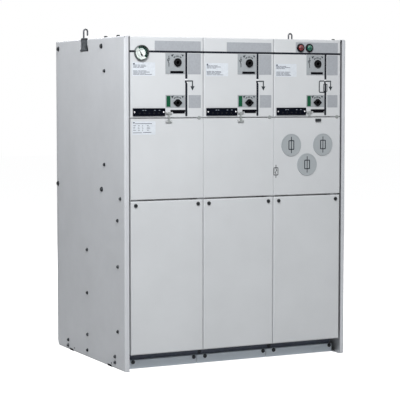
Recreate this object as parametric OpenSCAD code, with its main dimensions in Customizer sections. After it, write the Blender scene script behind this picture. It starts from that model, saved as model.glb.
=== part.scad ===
// Compact ring main unit with two cable switch modules and one fuse switch module.
// Origin: middle of the footprint, on the floor. +X is right seen from the front, the front faces -Y.

/* [Overall] */
// Width of one module
module_w = 325; // [265:1:400]
// Depth from the front covers to the back
unit_depth = 765; // [630:1:925]
// Height over the side covers
unit_h = 1336; // [1100:1:1610]
// Thickness of a side cover, which is a folded tray
side_cover_w = 23; // [19:0.5:28]

/* [Sheet metal] */
// Thickness of the cover sheets
sheet = 2; // [1.5:0.1:3]
// Outer radius of a fold
fold_r = 4; // [3.2:0.1:6]
// Depth of a folded front cover
cover_deep = 20; // [16:1:30]
// Gap between neighbouring modules' covers
seam = 2; // [1:0.5:5]
// Gap between neighbouring middle covers, which butt
mid_seam = 0.5; // [0.5:0.5:5]
// Distance of the outer front covers from the body's side
side_gap = 3; // [1:0.5:8]
// Drop of the covers' top edge below the side covers
top_drop = 2; // [0:0.5:6]

/* [Front covers] */
// Height of the upper covers, which carry the controls
upper_h = 321.5; // [300:0.5:390]
// Gap between the upper and the middle covers
upper_gap = 3; // [1:0.5:6]
// Height of the middle covers
mid_h = 321.9; // [260:0.1:390]
// Gap between the middle and the cable covers
cable_gap = 6; // [2:0.5:8]
// Height of the cable covers' lower edge
cable_foot = 66; // [50:1:90]
// Outer radius of the middle covers' folds
mid_fold_r = 2.5; // [2.2:0.1:6]
// Outer radius of the cable covers' folds
cable_fold_r = 5; // [4:0.5:9]

/* [Side covers] */
// Outer radius of a side cover's folds
side_fold_r = 7; // [3.2:0.1:10]
// Radius of the rear corner at the floor
rear_foot_r = 50; // [10:1:80]
// Radius of the rear corner at the roof
rear_top_r = 26; // [5:1:40]
// Distance of the front fold's edge from the body's side
flange_gap = 4.5; // [1:0.5:8]
// Depth over which the face rolls in at the rear
rear_roll_l = 50; // [30:1:60]
// Radius of that roll
rear_roll_r = 160; // [140:5:300]
// Length of a pad notch in the lower edge
pad_notch_l = 46; // [20:1:80]
// Height of a pad notch
pad_notch_h = 9; // [4:1:20]

/* [Plinth] */
// Recess of the plinth behind the front covers
plinth_recess = 62; // [40:1:90]
// Height of the plinth's front
plinth_h = 34; // [20:1:46]
// Width of the base rails
rail_w = 60; // [40:1:90]
// Thickness of the base rails
rail_t = 4; // [3:0.5:8]
// Radius of an anchor bolt hole
anchor_r = 7; // [5:0.5:10]
// Inset of the anchor holes from the rails' ends
anchor_inset = 90; // [30:1:120]

/* [Gas tank] */
// Height of the tank
tank_h = 749; // [600:1:900]
// Space for the mechanisms between the covers and the tank
mechanism_deep = 40; // [30:1:80]

/* [Operating shafts] */
// Radius of a switch shaft's round collar
collar_r = 16.5; // [14.5:0.5:24]
// Width of an earthing shaft's diamond collar
diamond_w = 37.5; // [31:0.5:45]
// Height of an earthing shaft's diamond collar
diamond_h = 29; // [26:0.5:40]
// Reach of the collars in front of the plates
collar_reach = 4; // [2:0.5:16]
// Radius of a shaft
shaft_r = 12; // [10:0.5:14.5]
// Width across flats of the handle socket
socket_w = 14; // [10:0.5:17]
// Depth of the handle socket
socket_deep = 26; // [15:1:40]
// Running clearance round a shaft
shaft_clear = 0.4; // [0.2:0.1:0.8]

/* [Push buttons] */
// Radius of a button's bezel
bezel_r = 17.5; // [14:0.5:20]
// Radius of a button's cap
cap_r = 11.5; // [10:0.5:13.5]
// Travel of a button, which ends just inside its bezel
button_travel = 6; // [3:0.5:8]

/* [Pressure gauge] */
// Outer radius of the gauge
gauge_r = 31; // [27:0.5:38]
// Reach of the gauge in front of its cover
gauge_reach = 12; // [8:0.5:20]
// Wall of the gauge's rim
gauge_rim = 4; // [3:0.5:6]
// Length of the needle from its pivot
needle_l = 23; // [15:0.5:25]

/* [Fuse chambers] */
// Radius of a fuse chamber's end disc
fuse_disc_r = 46.5; // [38:0.5:50]
// Thickness of a fuse chamber's end disc
fuse_disc_t = 3; // [2:0.5:6]

/* [Cover locks] */
// Radius of a cable cover's quarter-turn lock
lock_r = 7.5; // [5:0.5:10]
// Reach of a lock in front of its cover
lock_reach = 6; // [3:0.5:10]
// Distance of a lock from its module's side
lock_inset = 24.5; // [20:0.5:60]

/* [Lifting hooks] */
// Radius of the hook's bar
hook_bar_r = 3.5; // [3:0.5:5]
// Height of the hook over the side covers
hook_rise = 45; // [35:1:60]
// Distance between the hook's two legs
hook_span = 17; // [15:0.5:24]
// Distance of the hooks behind the front
hook_back = 442; // [380:1:480]
// Distance of a hook's leg inside its side cover's face
hook_inset = 8.5; // [6:0.5:12]
// Radius of the rubber boot's neck
boot_neck_r = 13.5; // [12:0.5:16]
// Radius of the rubber boot's flared foot
boot_foot_r = 19.5; // [17:0.5:24]
// Height of the rubber boot
boot_h = 55; // [45:1:70]

/* [Hidden] */
$fn = 64;
joined = 0.3;          // fitting clearance of pieces that are set into each other
past = 1;              // how far a cutting shape runs past what it cuts

modules = 3;
row_w = modules * module_w;
front_y = -unit_depth / 2;
rear_y = unit_depth / 2;
top_z = unit_h - top_drop;
upper_z = top_z - upper_h;
mid_z = upper_z - upper_gap - mid_h;
cable_h = mid_z - cable_gap - cable_foot;
frame_y = front_y + cover_deep;
tank_y = frame_y + mechanism_deep;
roof_deep = 25;
tank_top = top_z - roof_deep;
tank_rear = rear_y - cover_deep;
base_rear = rear_y - rear_foot_r;
tank_z = tank_top - tank_h;
post_w = 40;
sill_z = cable_foot + 2 * sheet;
plinth_y = front_y + plinth_recess;
plinth_return = 18;    // the plinth's top is folded back this far, to the base's front member
base_y = plinth_y + plinth_return;
base_h = 56;

// Places on an upper cover: from the module's left edge, and down from the covers' top edge.
shaft_x = 208.5;
shaft_gap = 0.5;       // the shafts end this far in front of the tank
switch_drop = 101;
earthing_drop = 262;
plate_x = 156.2;
plate_w = 85.8;
switch_plate_drop = 65;
switch_plate_h = 82.5;
earthing_plate_drop = 231;
earthing_plate_h = 50;
plate_t = 3;
plate_proud = 1;
collar_back = plate_proud + 1; // the collars turn 1 mm in front of their plates
diamond_round = 2.25;  // the lozenge's side tips lose this much to their rounding
diamond_flat = 3.5;    // and its top and bottom tips this much to their flats
upper_slot = [177, 135.5, 57.5, 9];
lower_slot = [178, 290.5, 64, 7.5];
lower_step = [189, 297.5, 51, 6.5];
slider_proud = 2;
flag = [160, 234.5, 17, 43.2];
voltage_panel = [13, 283.5, 139.5, 30.5];
voltage_proud = 4;
voltage_deep = 12;
button_places = [126, 168];
button_drop = 35;
button_back = 14;      // the buttons and their bezels reach this far behind the cover's face
bezel_reach = 7;
bezel_wall = 2;
button_clear = 0.5;
cap_reach = bezel_reach + button_travel - 1;
latch_x = 169;         // middle of the interlock latches
latch_drop = 299;
latch_w = 26;
latch_h = 42;
latch_bar = 8;
latch_stem = 6;
latch_t = 6;
lock_drop = 17;        // from the cable covers' top edge
lock_step = 1.5;       // the lock's head is this much smaller than its base ring
lock_slot = 2.5;
fuse_latch = [200, 330, 25, 12];
fuse_first_drop = 114; // the fuse chambers, from the middle cover's top edge and the module's middle
fuse_side = 76.5;
fuse_third = [-3, 196.5];
fuse_places = [
    [module_w / 2 + fuse_third[0] - fuse_side, fuse_first_drop],
    [module_w / 2 + fuse_third[0] + fuse_side, fuse_first_drop],
    [module_w / 2 + fuse_third[0], fuse_third[1]]
];

// The gauge, from its module's left edge and the covers' top edge, and its inside from the cover's face.
gauge_place = [50, 64.5];
gauge_seat = 3;
gauge_inner_r = gauge_r - gauge_rim;
dial_t = 1;
pivot_drop = 8.5;
hub_r = 2.6;
hub_t = 2.5;
needle_w = 4;
needle_tip = 1.2;
needle_t = 0.9;
needle_tail = 6;
needle_turn = 28.8;
glass_inset = 1;
glass_t = 2;

// Hooks stand inside the side covers, on brackets at the tank's sides.
hook_y = front_y + hook_back;
hook_x = row_w / 2 + side_cover_w - hook_inset;
hook_top = unit_h + hook_rise;
hook_bend_r = hook_span / 2;
hook_tip = 18;         // the hook's free end reaches this far down from its bend
boot_x = hook_x - 3.8;
boot_seat = 50;        // the boot's foot stands this far below the side covers' top
boot_z = unit_h - boot_seat;
boot_bore_r = hook_bar_r + joined;
boot_foot_h = 6;
boot_neck_z = 20;
boot_lip = 3;
bracket_w = 30;
bracket_h = 31;
bracket_edge = hook_bar_r + 0.5;
notch_front = 60;
notch_back = boot_neck_r + 4.5;
notch_flare = boot_foot_r - boot_neck_r + 4;
notch_drop = boot_seat + 2;
pad_notch_front = 162;
pad_notch_rear = 183;
relief_r = 4;

// Moves children to a place on the front of module i: x from its left edge, drop from the top edge.
module at_front(i, x, drop) {
    translate([-row_w / 2 + i * module_w + x, front_y, top_z - drop]) children();
}

// A cylinder whose axis runs back from the front.
module disc(r, from, to) {
    translate([0, from, 0]) rotate([-90, 0, 0]) cylinder(r = r, h = to - from);
}

// A box set out as [left, drop, width, height] on module i, from one depth to another.
module slab(i, place, from, to, grow = 0) {
    at_front(i, place[0] - grow, place[1] - grow)
        translate([0, from, -place[3] - 2 * grow])
            cube([place[2] + 2 * grow, to - from, place[3] + 2 * grow]);
}

module fold_corner(r) {
    difference() {
        translate([-past, -past]) square(r + past);
        translate([r, r]) circle(r);
    }
}

// Section of a folded cover: its front edge has rounded corners.
module fold_section(w, deep, r) {
    difference() {
        square([w, deep]);
        fold_corner(r);
        translate([w, 0]) mirror([1, 0]) fold_corner(r);
    }
}

module pan_form(w, h, deep, r) {
    intersection() {
        linear_extrude(h) fold_section(w, deep, r);
        translate([0, 0, h]) rotate([0, 90, 0]) linear_extrude(w) fold_section(h, deep, r);
    }
}

// A cover folded from sheet on four sides, with its face towards -Y.
module pan(w, h, deep, r) {
    difference() {
        pan_form(w, h, deep, r);
        translate([sheet, sheet, sheet])
            pan_form(w - 2 * sheet, h - 2 * sheet, deep, max(r - sheet, joined));
    }
}

// The cover of module i from a lower edge upwards. It leaves half a seam at a neighbouring module.
module front_cover(i, low, h, between, r) {
    left = i == 0 ? side_gap : between / 2;
    right = i == modules - 1 ? side_gap : between / 2;
    translate([-row_w / 2 + i * module_w + left, front_y, low])
        pan(module_w - left - right, h, cover_deep, r);
}

module gas_tank() {
    color("silver")
        translate([-row_w / 2, tank_y, tank_z])
            cube([row_w, tank_rear - tank_y, tank_h]);
}

module base_rail() {
    inner = row_w / 2 - rail_w;
    length = base_rear - base_y;
    difference() {
        union() {
            translate([inner, base_y, 0]) cube([rail_w, length, rail_t]);
            translate([row_w / 2 - rail_t, base_y, 0]) cube([rail_t, length, base_h]);
        }
        for (y = [base_y + anchor_inset, base_y + length - anchor_inset])
            translate([row_w / 2 - rail_w / 2, y, -past]) cylinder(r = anchor_r, h = rail_t + 2 * past);
    }
}

// The base: two angle rails with the anchor holes, and a member across the front and the back.
module base_frame() {
    color("gainsboro") {
        base_rail();
        mirror([1, 0, 0]) base_rail();
        translate([-row_w / 2, base_y, 0]) cube([row_w, rail_t, sill_z]);
        translate([-row_w / 2, frame_y, sill_z]) cube([row_w, base_y + rail_t - frame_y, rail_t]);
        translate([-row_w / 2, base_rear - rail_t, 0]) cube([row_w, rail_t, base_h]);
    }
}

// Uprights behind the joints of the front covers, from the sill to the tank's top.
module front_uprights() {
    foot = sill_z + rail_t;
    color("gainsboro")
        for (x = [-row_w / 2, -module_w / 2 - post_w / 2, module_w / 2 - post_w / 2, row_w / 2 - post_w])
            translate([x, frame_y, foot]) cube([post_w, mechanism_deep, tank_top - foot]);
}

// At each side a rear post on the base rail, and the rail that carries the tank.
module tank_carriers() {
    rail_y = frame_y + mechanism_deep;
    color("gainsboro")
        for (x = [-row_w / 2 + rail_t, row_w / 2 - rail_t - post_w]) {
            translate([x, base_rear - rail_t - post_w, rail_t]) cube([post_w, post_w, tank_z - rail_t]);
            translate([x, rail_y, tank_z - post_w]) cube([post_w, tank_rear - rail_y, post_w]);
        }
}

module floor_plate() {
    inner = row_w / 2 - rail_t - post_w;
    color("lightgrey")
        translate([-inner, base_y + rail_t, base_h])
            cube([2 * inner, base_rear - rail_t - base_y - rail_t, sheet]);
}

// The modules' plinth fronts: sheets with their tops folded back.
module plinth_fronts() {
    color("lightgrey")
        for (i = [0:modules - 1])
            translate([-row_w / 2 + i * module_w + seam / 2, plinth_y, 0])
                difference() {
                    cube([module_w - seam, plinth_return, plinth_h]);
                    translate([-past, sheet, -past])
                        cube([module_w + 2 * past, plinth_return, plinth_h - sheet + past]);
                }
}

// Outline of a side cover, with its depth along X and its height along Y.
module side_outline(inset) {
    deep = unit_depth - 2 * inset;
    high = unit_h - 2 * inset;
    foot_r = max(rear_foot_r - inset, 1);
    top_r = max(rear_top_r - inset, 1);
    translate([inset, inset])
        difference() {
            square([deep, high]);
            translate([deep, 0]) mirror([1, 0]) fold_corner(foot_r);
            translate([deep, high]) mirror([1, 0]) mirror([0, 1]) fold_corner(top_r);
        }
}

// Bell-shaped notch in the top edge, through which the hook's boot shows.
module hook_notch() {
    front = hook_back - notch_front;
    back = hook_back + notch_back;
    low = unit_h - notch_drop;
    polygon([
        [front, unit_h + past], [front, low + 3 * notch_flare],
        [front - notch_flare, low + notch_flare], [front - notch_flare, low],
        [back + notch_flare, low], [back + notch_flare, low + notch_flare],
        [back, low + 3 * notch_flare], [back, unit_h + past]
    ]);
}

// Pushes an outline drawn in depth and height through the thickness of a side cover.
module through_side() {
    translate([0, side_cover_w + past, 0]) rotate([90, 0, 0])
        linear_extrude(side_cover_w + 2 * past) children();
}

// What the roll takes from the section of a side cover's rear edge, drawn with its face towards -Y. The
// roll's arc runs tangent into the fold's.
module rear_roll(inset) {
    start = unit_depth - rear_roll_l;
    between = rear_roll_r - side_fold_r;
    turn = asin((rear_roll_l - side_fold_r) / between);
    fold_y = rear_roll_r - between * cos(turn);
    meet = start + (rear_roll_r - inset) * sin(turn);
    difference() {
        translate([start, -past]) square([rear_roll_l + past, fold_y + past]);
        translate([start, rear_roll_r]) circle(r = rear_roll_r - inset);
    }
    difference() {
        translate([meet, -past]) square([unit_depth - meet + past, fold_y + past]);
        translate([unit_depth - side_fold_r, fold_y]) circle(r = side_fold_r - inset);
    }
}

module side_form(inset) {
    difference() {
        intersection() {
            translate([inset, inset, inset])
                pan_form(unit_depth - 2 * inset, unit_h - 2 * inset, side_cover_w, side_fold_r - inset);
            through_side() side_outline(inset);
        }
        translate([0, 0, -past]) linear_extrude(unit_h + 2 * past) rear_roll(inset);
    }
}

// A side cover, drawn with its depth along X, its height along Z and its face towards -Y.
module side_tray() {
    difference() {
        side_form(0);
        side_form(sheet);
        through_side() hook_notch();
        for (d = [pad_notch_front, unit_depth - pad_notch_rear])
            through_side() translate([d - pad_notch_l / 2, -past]) square([pad_notch_l, pad_notch_h + past]);
        // The front fold is narrower than the other ones.
        translate([-past, side_cover_w - flange_gap, -past])
            cube([sheet + 2 * past, flange_gap + past, unit_h + 2 * past]);
        // Relief where the front and the top fold meet.
        translate([relief_r, relief_r, unit_h - relief_r]) rotate([90, 0, 0])
            cylinder(r = relief_r, h = 2 * relief_r);
    }
}

module side_cover() {
    color("gainsboro")
        translate([-row_w / 2 - side_cover_w, front_y, 0]) mirror([1, -1, 0]) side_tray();
}

module left_side_cover() { side_cover(); }
module right_side_cover() { mirror([1, 0, 0]) side_cover(); }

// A stretch of the body's skin from side to side. Seen from the side it keeps to the side covers' outline,
// between the given corners [y, z], and its ends are folded in along the side covers.
module body_skin(low, high, fold) {
    translate([-row_w / 2, 0, 0]) rotate([90, 0, 90]) {
        linear_extrude(row_w) skin_section(low, high, sheet);
        for (x = [0, row_w - sheet]) translate([0, 0, x]) linear_extrude(sheet) skin_section(low, high, fold);
    }
}

module skin_section(low, high, thick) {
    intersection() {
        translate([front_y, 0]) difference() {
            side_outline(top_drop);
            side_outline(top_drop + thick);
        }
        translate(low) square(high - low);
    }
}

module roof_cover() {
    color("gainsboro") {
        body_skin([frame_y, tank_top], [rear_y, unit_h], roof_deep);
        translate([-row_w / 2, frame_y, tank_top]) cube([row_w, sheet, roof_deep]);
    }
}

module rear_cover() {
    color("gainsboro")
        body_skin([base_rear, 0], [rear_y, tank_top - seam], cover_deep - top_drop);
}

module upper_cover(i) {
    color("whitesmoke")
        difference() {
            front_cover(i, upper_z, upper_h, seam, fold_r);
            slab(i, [plate_x, switch_plate_drop, plate_w, switch_plate_h], -past, sheet + past, joined);
            slab(i, [plate_x, earthing_plate_drop, plate_w, earthing_plate_h], -past, sheet + past, joined);
            slab(i, lower_slot, -past, sheet + past, joined);
            slab(i, lower_step, -past, sheet + past, joined);
            slab(i, voltage_panel, -past, sheet + past, joined);
            if (i == 0)
                at_gauge() disc(gauge_inner_r, -past, sheet + past);
            if (i == 2)
                for (x = button_places)
                    at_front(i, x, button_drop) disc(cap_r + bezel_wall, -past, sheet + past);
        }
}

module mid_cover(i) {
    color("gainsboro") front_cover(i, mid_z, mid_h, mid_seam, mid_fold_r);
}

module cable_cover(i) {
    color("gainsboro") front_cover(i, cable_foot, cable_h, seam, cable_fold_r);
}

module switch_plate(i) {
    color("darkgrey")
        difference() {
            slab(i, [plate_x, switch_plate_drop, plate_w, switch_plate_h],
                -plate_proud, plate_t - plate_proud);
            at_front(i, shaft_x, switch_drop)
                disc(shaft_r + shaft_clear, -past - plate_proud, plate_t + past);
            slab(i, upper_slot, -past - plate_proud, plate_t + past, joined);
        }
}

module earthing_plate(i) {
    color("darkgrey")
        difference() {
            slab(i, [plate_x, earthing_plate_drop, plate_w, earthing_plate_h],
                -plate_proud, plate_t - plate_proud);
            at_front(i, shaft_x, earthing_drop)
                disc(shaft_r + shaft_clear, -past - plate_proud, plate_t + past);
            slab(i, flag, -past - plate_proud, plate_t + past, joined);
        }
}

// Black sliders that take a padlock: one in each switch plate, one stepped one below each earthing plate.
module lock_sliders() {
    color("black")
        for (i = [0:modules - 1]) {
            slab(i, upper_slot, -slider_proud, plate_t);
            slab(i, lower_slot, -slider_proud, plate_t);
            slab(i, lower_step, -slider_proud, plate_t);
        }
}

module position_flags() {
    color("seagreen")
        for (i = [0:modules - 1]) slab(i, flag, -plate_proud, plate_t - plate_proud);
}

// The shaft behind a collar, and the six-sided socket for the operating handle.
module shaft_rod() {
    disc(shaft_r, -collar_back, cover_deep + mechanism_deep - shaft_gap);
}

module handle_socket() {
    translate([0, -collar_back - collar_reach - past, 0]) rotate([-90, 0, 0])
        cylinder(d = socket_w / cos(30), h = socket_deep + past, $fn = 6);
}

module switch_shaft(i) {
    color("black")
        at_front(i, shaft_x, switch_drop)
            difference() {
                union() {
                    disc(collar_r, -collar_back - collar_reach, -collar_back);
                    shaft_rod();
                }
                handle_socket();
            }
}

// A lozenge whose side tips are rounded and whose top and bottom tips are cut flat.
module diamond_collar() {
    tip_x = diamond_w / 2 + diamond_round;
    tip_z = diamond_h / 2 + diamond_flat;
    rotate([90, 0, 0]) translate([0, 0, collar_back])
        linear_extrude(collar_reach)
            intersection() {
                polygon([[-tip_x, 0], [0, tip_z], [tip_x, 0], [0, -tip_z]]);
                circle(r = diamond_w / 2);
                square([diamond_w, diamond_h], center = true);
            }
}

module earthing_shaft(i) {
    color("black")
        at_front(i, shaft_x, earthing_drop)
            difference() {
                union() {
                    diamond_collar();
                    shaft_rod();
                }
                handle_socket();
            }
}

module voltage_panels() {
    color("black")
        for (i = [0:modules - 1]) slab(i, voltage_panel, -voltage_proud, voltage_deep);
}

// Moves children to the middle of the gauge.
module at_gauge() {
    at_front(0, gauge_place[0], gauge_place[1]) children();
}

module gauge_body() {
    color("dimgrey")
        at_gauge()
            difference() {
                union() {
                    disc(gauge_r, -gauge_reach, 0);
                    disc(gauge_inner_r - joined, -joined, cover_deep - sheet);
                }
                disc(gauge_inner_r, -gauge_reach - past, -gauge_seat);
            }
}

module gauge_dial() {
    color("white") at_gauge() disc(gauge_inner_r - joined, -gauge_seat - dial_t, -gauge_seat);
}

module needle_outline() {
    polygon([
        [-needle_tip / 2, needle_l], [needle_tip / 2, needle_l], [needle_w / 2, 0],
        [needle_tip, -needle_tail], [-needle_tip, -needle_tail], [-needle_w / 2, 0]
    ]);
}

module gauge_needle() {
    back = -gauge_seat - dial_t;
    color("black")
        at_gauge() translate([0, 0, -pivot_drop]) {
            disc(hub_r, back - hub_t, back);
            rotate([0, -needle_turn, 0])
                translate([0, back - hub_t + joined + needle_t, 0]) rotate([90, 0, 0])
                    linear_extrude(needle_t) needle_outline();
        }
}

module gauge_glass() {
    front = -gauge_reach + glass_inset;
    color("white", 0.3) at_gauge() disc(gauge_inner_r - joined, front, front + glass_t);
}

module button_bezels() {
    color("black")
        for (x = button_places)
            at_front(2, x, button_drop)
                difference() {
                    union() {
                        disc(bezel_r, -bezel_reach, 0);
                        disc(cap_r + bezel_wall - joined, -joined, button_back);
                    }
                    disc(cap_r + button_clear, -bezel_reach - past, button_back + past);
                }
}

module button(x) {
    at_front(2, x, button_drop) disc(cap_r, -cap_reach, button_back);
}

module red_button() { color("firebrick") button(button_places[0]); }
module green_button() { color("seagreen") button(button_places[1]); }

// Grey hasps over the joint below the upper covers. The fuse module's is lifted, so only its top shows.
module interlock_latches() {
    color("darkgrey")
        for (i = [0:modules - 1])
            at_front(i, latch_x, latch_drop)
                translate([0, -latch_t, 0]) {
                    drop = i < modules - 1 ? latch_h : upper_h - latch_drop;
                    translate([-latch_stem / 2, 0, -drop]) cube([latch_stem, latch_t, drop]);
                    translate([-latch_w / 2, 0, -latch_bar]) cube([latch_w, latch_t, latch_bar]);
                    if (i < modules - 1)
                        translate([-latch_w / 2, 0, -latch_h]) cube([latch_w, latch_t, latch_bar]);
                }
}

// Black quarter-turn locks at the cable covers' upper corners, and the fuse cover's latch.
module cover_locks() {
    drop = top_z - cable_foot - cable_h + lock_drop;
    color("black") {
        for (i = [0:modules - 1], x = [lock_inset, module_w - lock_inset])
            at_front(i, x, drop) lock();
        slab(modules - 1, fuse_latch, -lock_reach, 0);
    }
}

// A round lock: a base ring, a raised head and the slot for its key.
module lock() {
    head_r = lock_r - lock_step;
    slot_l = 2 * (head_r - lock_step);
    difference() {
        union() {
            disc(lock_r, -lock_reach / 2, 0);
            disc(head_r, -lock_reach, 0);
        }
        rotate([0, 45, 0]) translate([-slot_l / 2, -lock_reach - past, -lock_slot / 2])
            cube([slot_l, lock_reach / 2 + past, lock_slot]);
    }
}

module fuse_discs() {
    color("silver")
        for (p = fuse_places)
            at_front(modules - 1, p[0], upper_h + upper_gap + p[1]) disc(fuse_disc_r, -fuse_disc_t, 0);
}

// A bar bent over at the top, on a bracket at the tank's side. It stands in a straight leg.
module hook() {
    bend_z = hook_top - hook_bar_r - hook_bend_r;
    color("slategrey") {
        translate([-hook_x, hook_y, boot_z - past])
            cylinder(r = hook_bar_r, h = bend_z - boot_z + past);
        translate([-hook_x + hook_bend_r, hook_y, bend_z]) rotate([90, 0, 0])
            rotate_extrude(angle = 180) translate([hook_bend_r, 0]) circle(r = hook_bar_r, $fn = 24);
        translate([-hook_x + hook_span, hook_y, bend_z - hook_tip]) cylinder(r = hook_bar_r, h = hook_tip);
        translate([-hook_x - bracket_edge, hook_y - bracket_w / 2, boot_z - bracket_h])
            cube([hook_x + bracket_edge - row_w / 2, bracket_w, bracket_h]);
    }
}

module left_hook() { hook(); }
module right_hook() { mirror([1, 0, 0]) hook(); }

// Rubber boot round the hook's leg: a bell with a flat back against the tank's side.
module boot() {
    neck = boot_neck_r;
    foot = boot_foot_r;
    flare = [
        for (t = [0:15:90])
            [foot - (foot - neck) * sin(t), boot_foot_h + (boot_neck_z - boot_foot_h) * (1 - cos(t))]
    ];
    color([0.1, 0.1, 0.11])
        difference() {
            translate([-boot_x, hook_y, boot_z])
                rotate_extrude()
                    polygon(concat([[0, 0], [foot, 0]], flare,
                        [[neck, boot_h - boot_lip], [neck - boot_lip, boot_h], [0, boot_h]]));
            translate([-hook_x, hook_y, boot_z - past]) cylinder(r = boot_bore_r, h = boot_h + 2 * past);
            translate([-row_w / 2 - joined, hook_y - 2 * foot, boot_z - past])
                cube([4 * foot, 4 * foot, boot_h + 2 * past]);
        }
}

module left_boot() { boot(); }
module right_boot() { mirror([1, 0, 0]) boot(); }

gas_tank();
base_frame();
front_uprights();
tank_carriers();
floor_plate();
plinth_fronts();
left_side_cover();
right_side_cover();
roof_cover();
rear_cover();
upper_cover(0);  // upper_cover_1
upper_cover(1);  // upper_cover_2
upper_cover(2);  // upper_cover_3
mid_cover(0);  // mid_cover_1
mid_cover(1);  // mid_cover_2
mid_cover(2);  // mid_cover_3
cable_cover(0);  // cable_cover_1
cable_cover(1);  // cable_cover_2
cable_cover(2);  // cable_cover_3
switch_plate(0);  // switch_plate_1
switch_plate(1);  // switch_plate_2
switch_plate(2);  // switch_plate_3
earthing_plate(0);  // earthing_plate_1
earthing_plate(1);  // earthing_plate_2
earthing_plate(2);  // earthing_plate_3
lock_sliders();
position_flags();
switch_shaft(0);  // switch_shaft_1
switch_shaft(1);  // switch_shaft_2
switch_shaft(2);  // switch_shaft_3
earthing_shaft(0);  // earthing_shaft_1
earthing_shaft(1);  // earthing_shaft_2
earthing_shaft(2);  // earthing_shaft_3
voltage_panels();
gauge_body();
gauge_dial();
gauge_needle();
gauge_glass();
button_bezels();
red_button();
green_button();
interlock_latches();
cover_locks();
fuse_discs();
left_hook();
right_hook();
left_boot();
right_boot();
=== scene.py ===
"""Looks of a ring main unit: three medium-voltage switch modules side by side in one cabinet.

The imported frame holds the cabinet's sheets, shafts, buttons and covers, and gives every place. This
script dresses the frame's nodes and adds what is too fine for them: the mimic diagram and label
films, the gauge's rim and scale, moulded caps and bezels, screws, bolts, catches, hooks and boots.
Sizes are millimetres until a mesh is made, and a mesh is in metres like the frame.
"""

import logging
from abc import ABC, abstractmethod
from dataclasses import dataclass
from enum import Enum
from typing import Sequence

import bmesh
import bpy
import numpy as np
from mathutils import Euler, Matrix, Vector
from mathutils.geometry import tessellate_polygon


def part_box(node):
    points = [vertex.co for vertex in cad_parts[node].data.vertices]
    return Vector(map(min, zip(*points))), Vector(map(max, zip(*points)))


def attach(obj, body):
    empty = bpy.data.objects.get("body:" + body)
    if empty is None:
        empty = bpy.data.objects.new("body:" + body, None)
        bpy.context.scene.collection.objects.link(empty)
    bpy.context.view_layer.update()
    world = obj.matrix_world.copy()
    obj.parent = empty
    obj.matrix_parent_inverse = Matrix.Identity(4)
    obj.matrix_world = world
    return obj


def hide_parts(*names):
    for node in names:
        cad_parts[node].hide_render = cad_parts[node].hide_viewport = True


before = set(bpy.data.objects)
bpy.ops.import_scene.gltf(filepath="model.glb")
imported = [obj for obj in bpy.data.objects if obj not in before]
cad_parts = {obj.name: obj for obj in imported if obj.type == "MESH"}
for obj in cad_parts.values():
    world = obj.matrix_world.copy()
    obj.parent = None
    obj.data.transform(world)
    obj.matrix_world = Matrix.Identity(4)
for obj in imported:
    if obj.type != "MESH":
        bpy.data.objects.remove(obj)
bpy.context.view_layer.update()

log = logging.getLogger("ring_main_unit")

MM = 0.001
UNIT = "unit"
FUSE_MODULE = 3
BUTTONS = (("red", 126), ("green", 168))   # the push buttons' places across the fuse module
BUTTON_DROP = 35

SINK = 0.05          # a film or print starts this far inside the sheet under it
FILM = 0.25          # thickness of a label film
INK = 0.2            # thickness of a printed line over what it is printed on
BED = 0.3            # a fitted piece starts this far inside what it stands on
DOWN = (1, -1)       # turns an outline between up and drop
HEXAGON = 1 / np.cos(np.pi / 6)            # a hexagon's corner radius over half its flats

SHARP = np.radians(35)                     # an edge that turns further than this stays sharp
MERGE = 1e-6         # points closer than this become one, in metres
SLIVER = 1e-7        # edges shorter than this go, in metres
MIX_FACTOR, MIX_ONE, MIX_OTHER, MIX_COLOUR = 0, 6, 7, 2   # a Mix node's sockets when it blends colours
WHITE = (1, 1, 1, 1)

Colour = tuple[float, float, float]
Place = Sequence[float]
Rectangle = tuple[float, float, float, float]   # left, drop, width and height
Socket = bpy.types.NodeSocket


class Side(Enum):
    """A side of the cabinet, as the directions of a drawing laid on it: across, up and outwards."""

    FRONT = ((1, 0, 0), (0, 0, 1), (0, -1, 0))
    LEFT = ((0, -1, 0), (0, 0, 1), (-1, 0, 0))
    RIGHT = ((0, 1, 0), (0, 0, 1), (1, 0, 0))
    REAR = ((-1, 0, 0), (0, 0, 1), (0, 1, 0))
    TOP = ((1, 0, 0), (0, 1, 0), (0, 0, 1))

    @property
    def hand(self) -> int:
        """Returns -1 for the left side and 1 for any other."""
        return -1 if self is Side.LEFT else 1

    @property
    def word(self) -> str:
        """Returns the side's name as the frame's nodes have it."""
        return self.name.lower()


def node_box(node: str) -> list[Vector]:
    """Returns the lower and the upper corner of a node's box, in millimetres."""
    return [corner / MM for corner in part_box(node)]


# ---------------------------------------------------------------- surfaces


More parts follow.
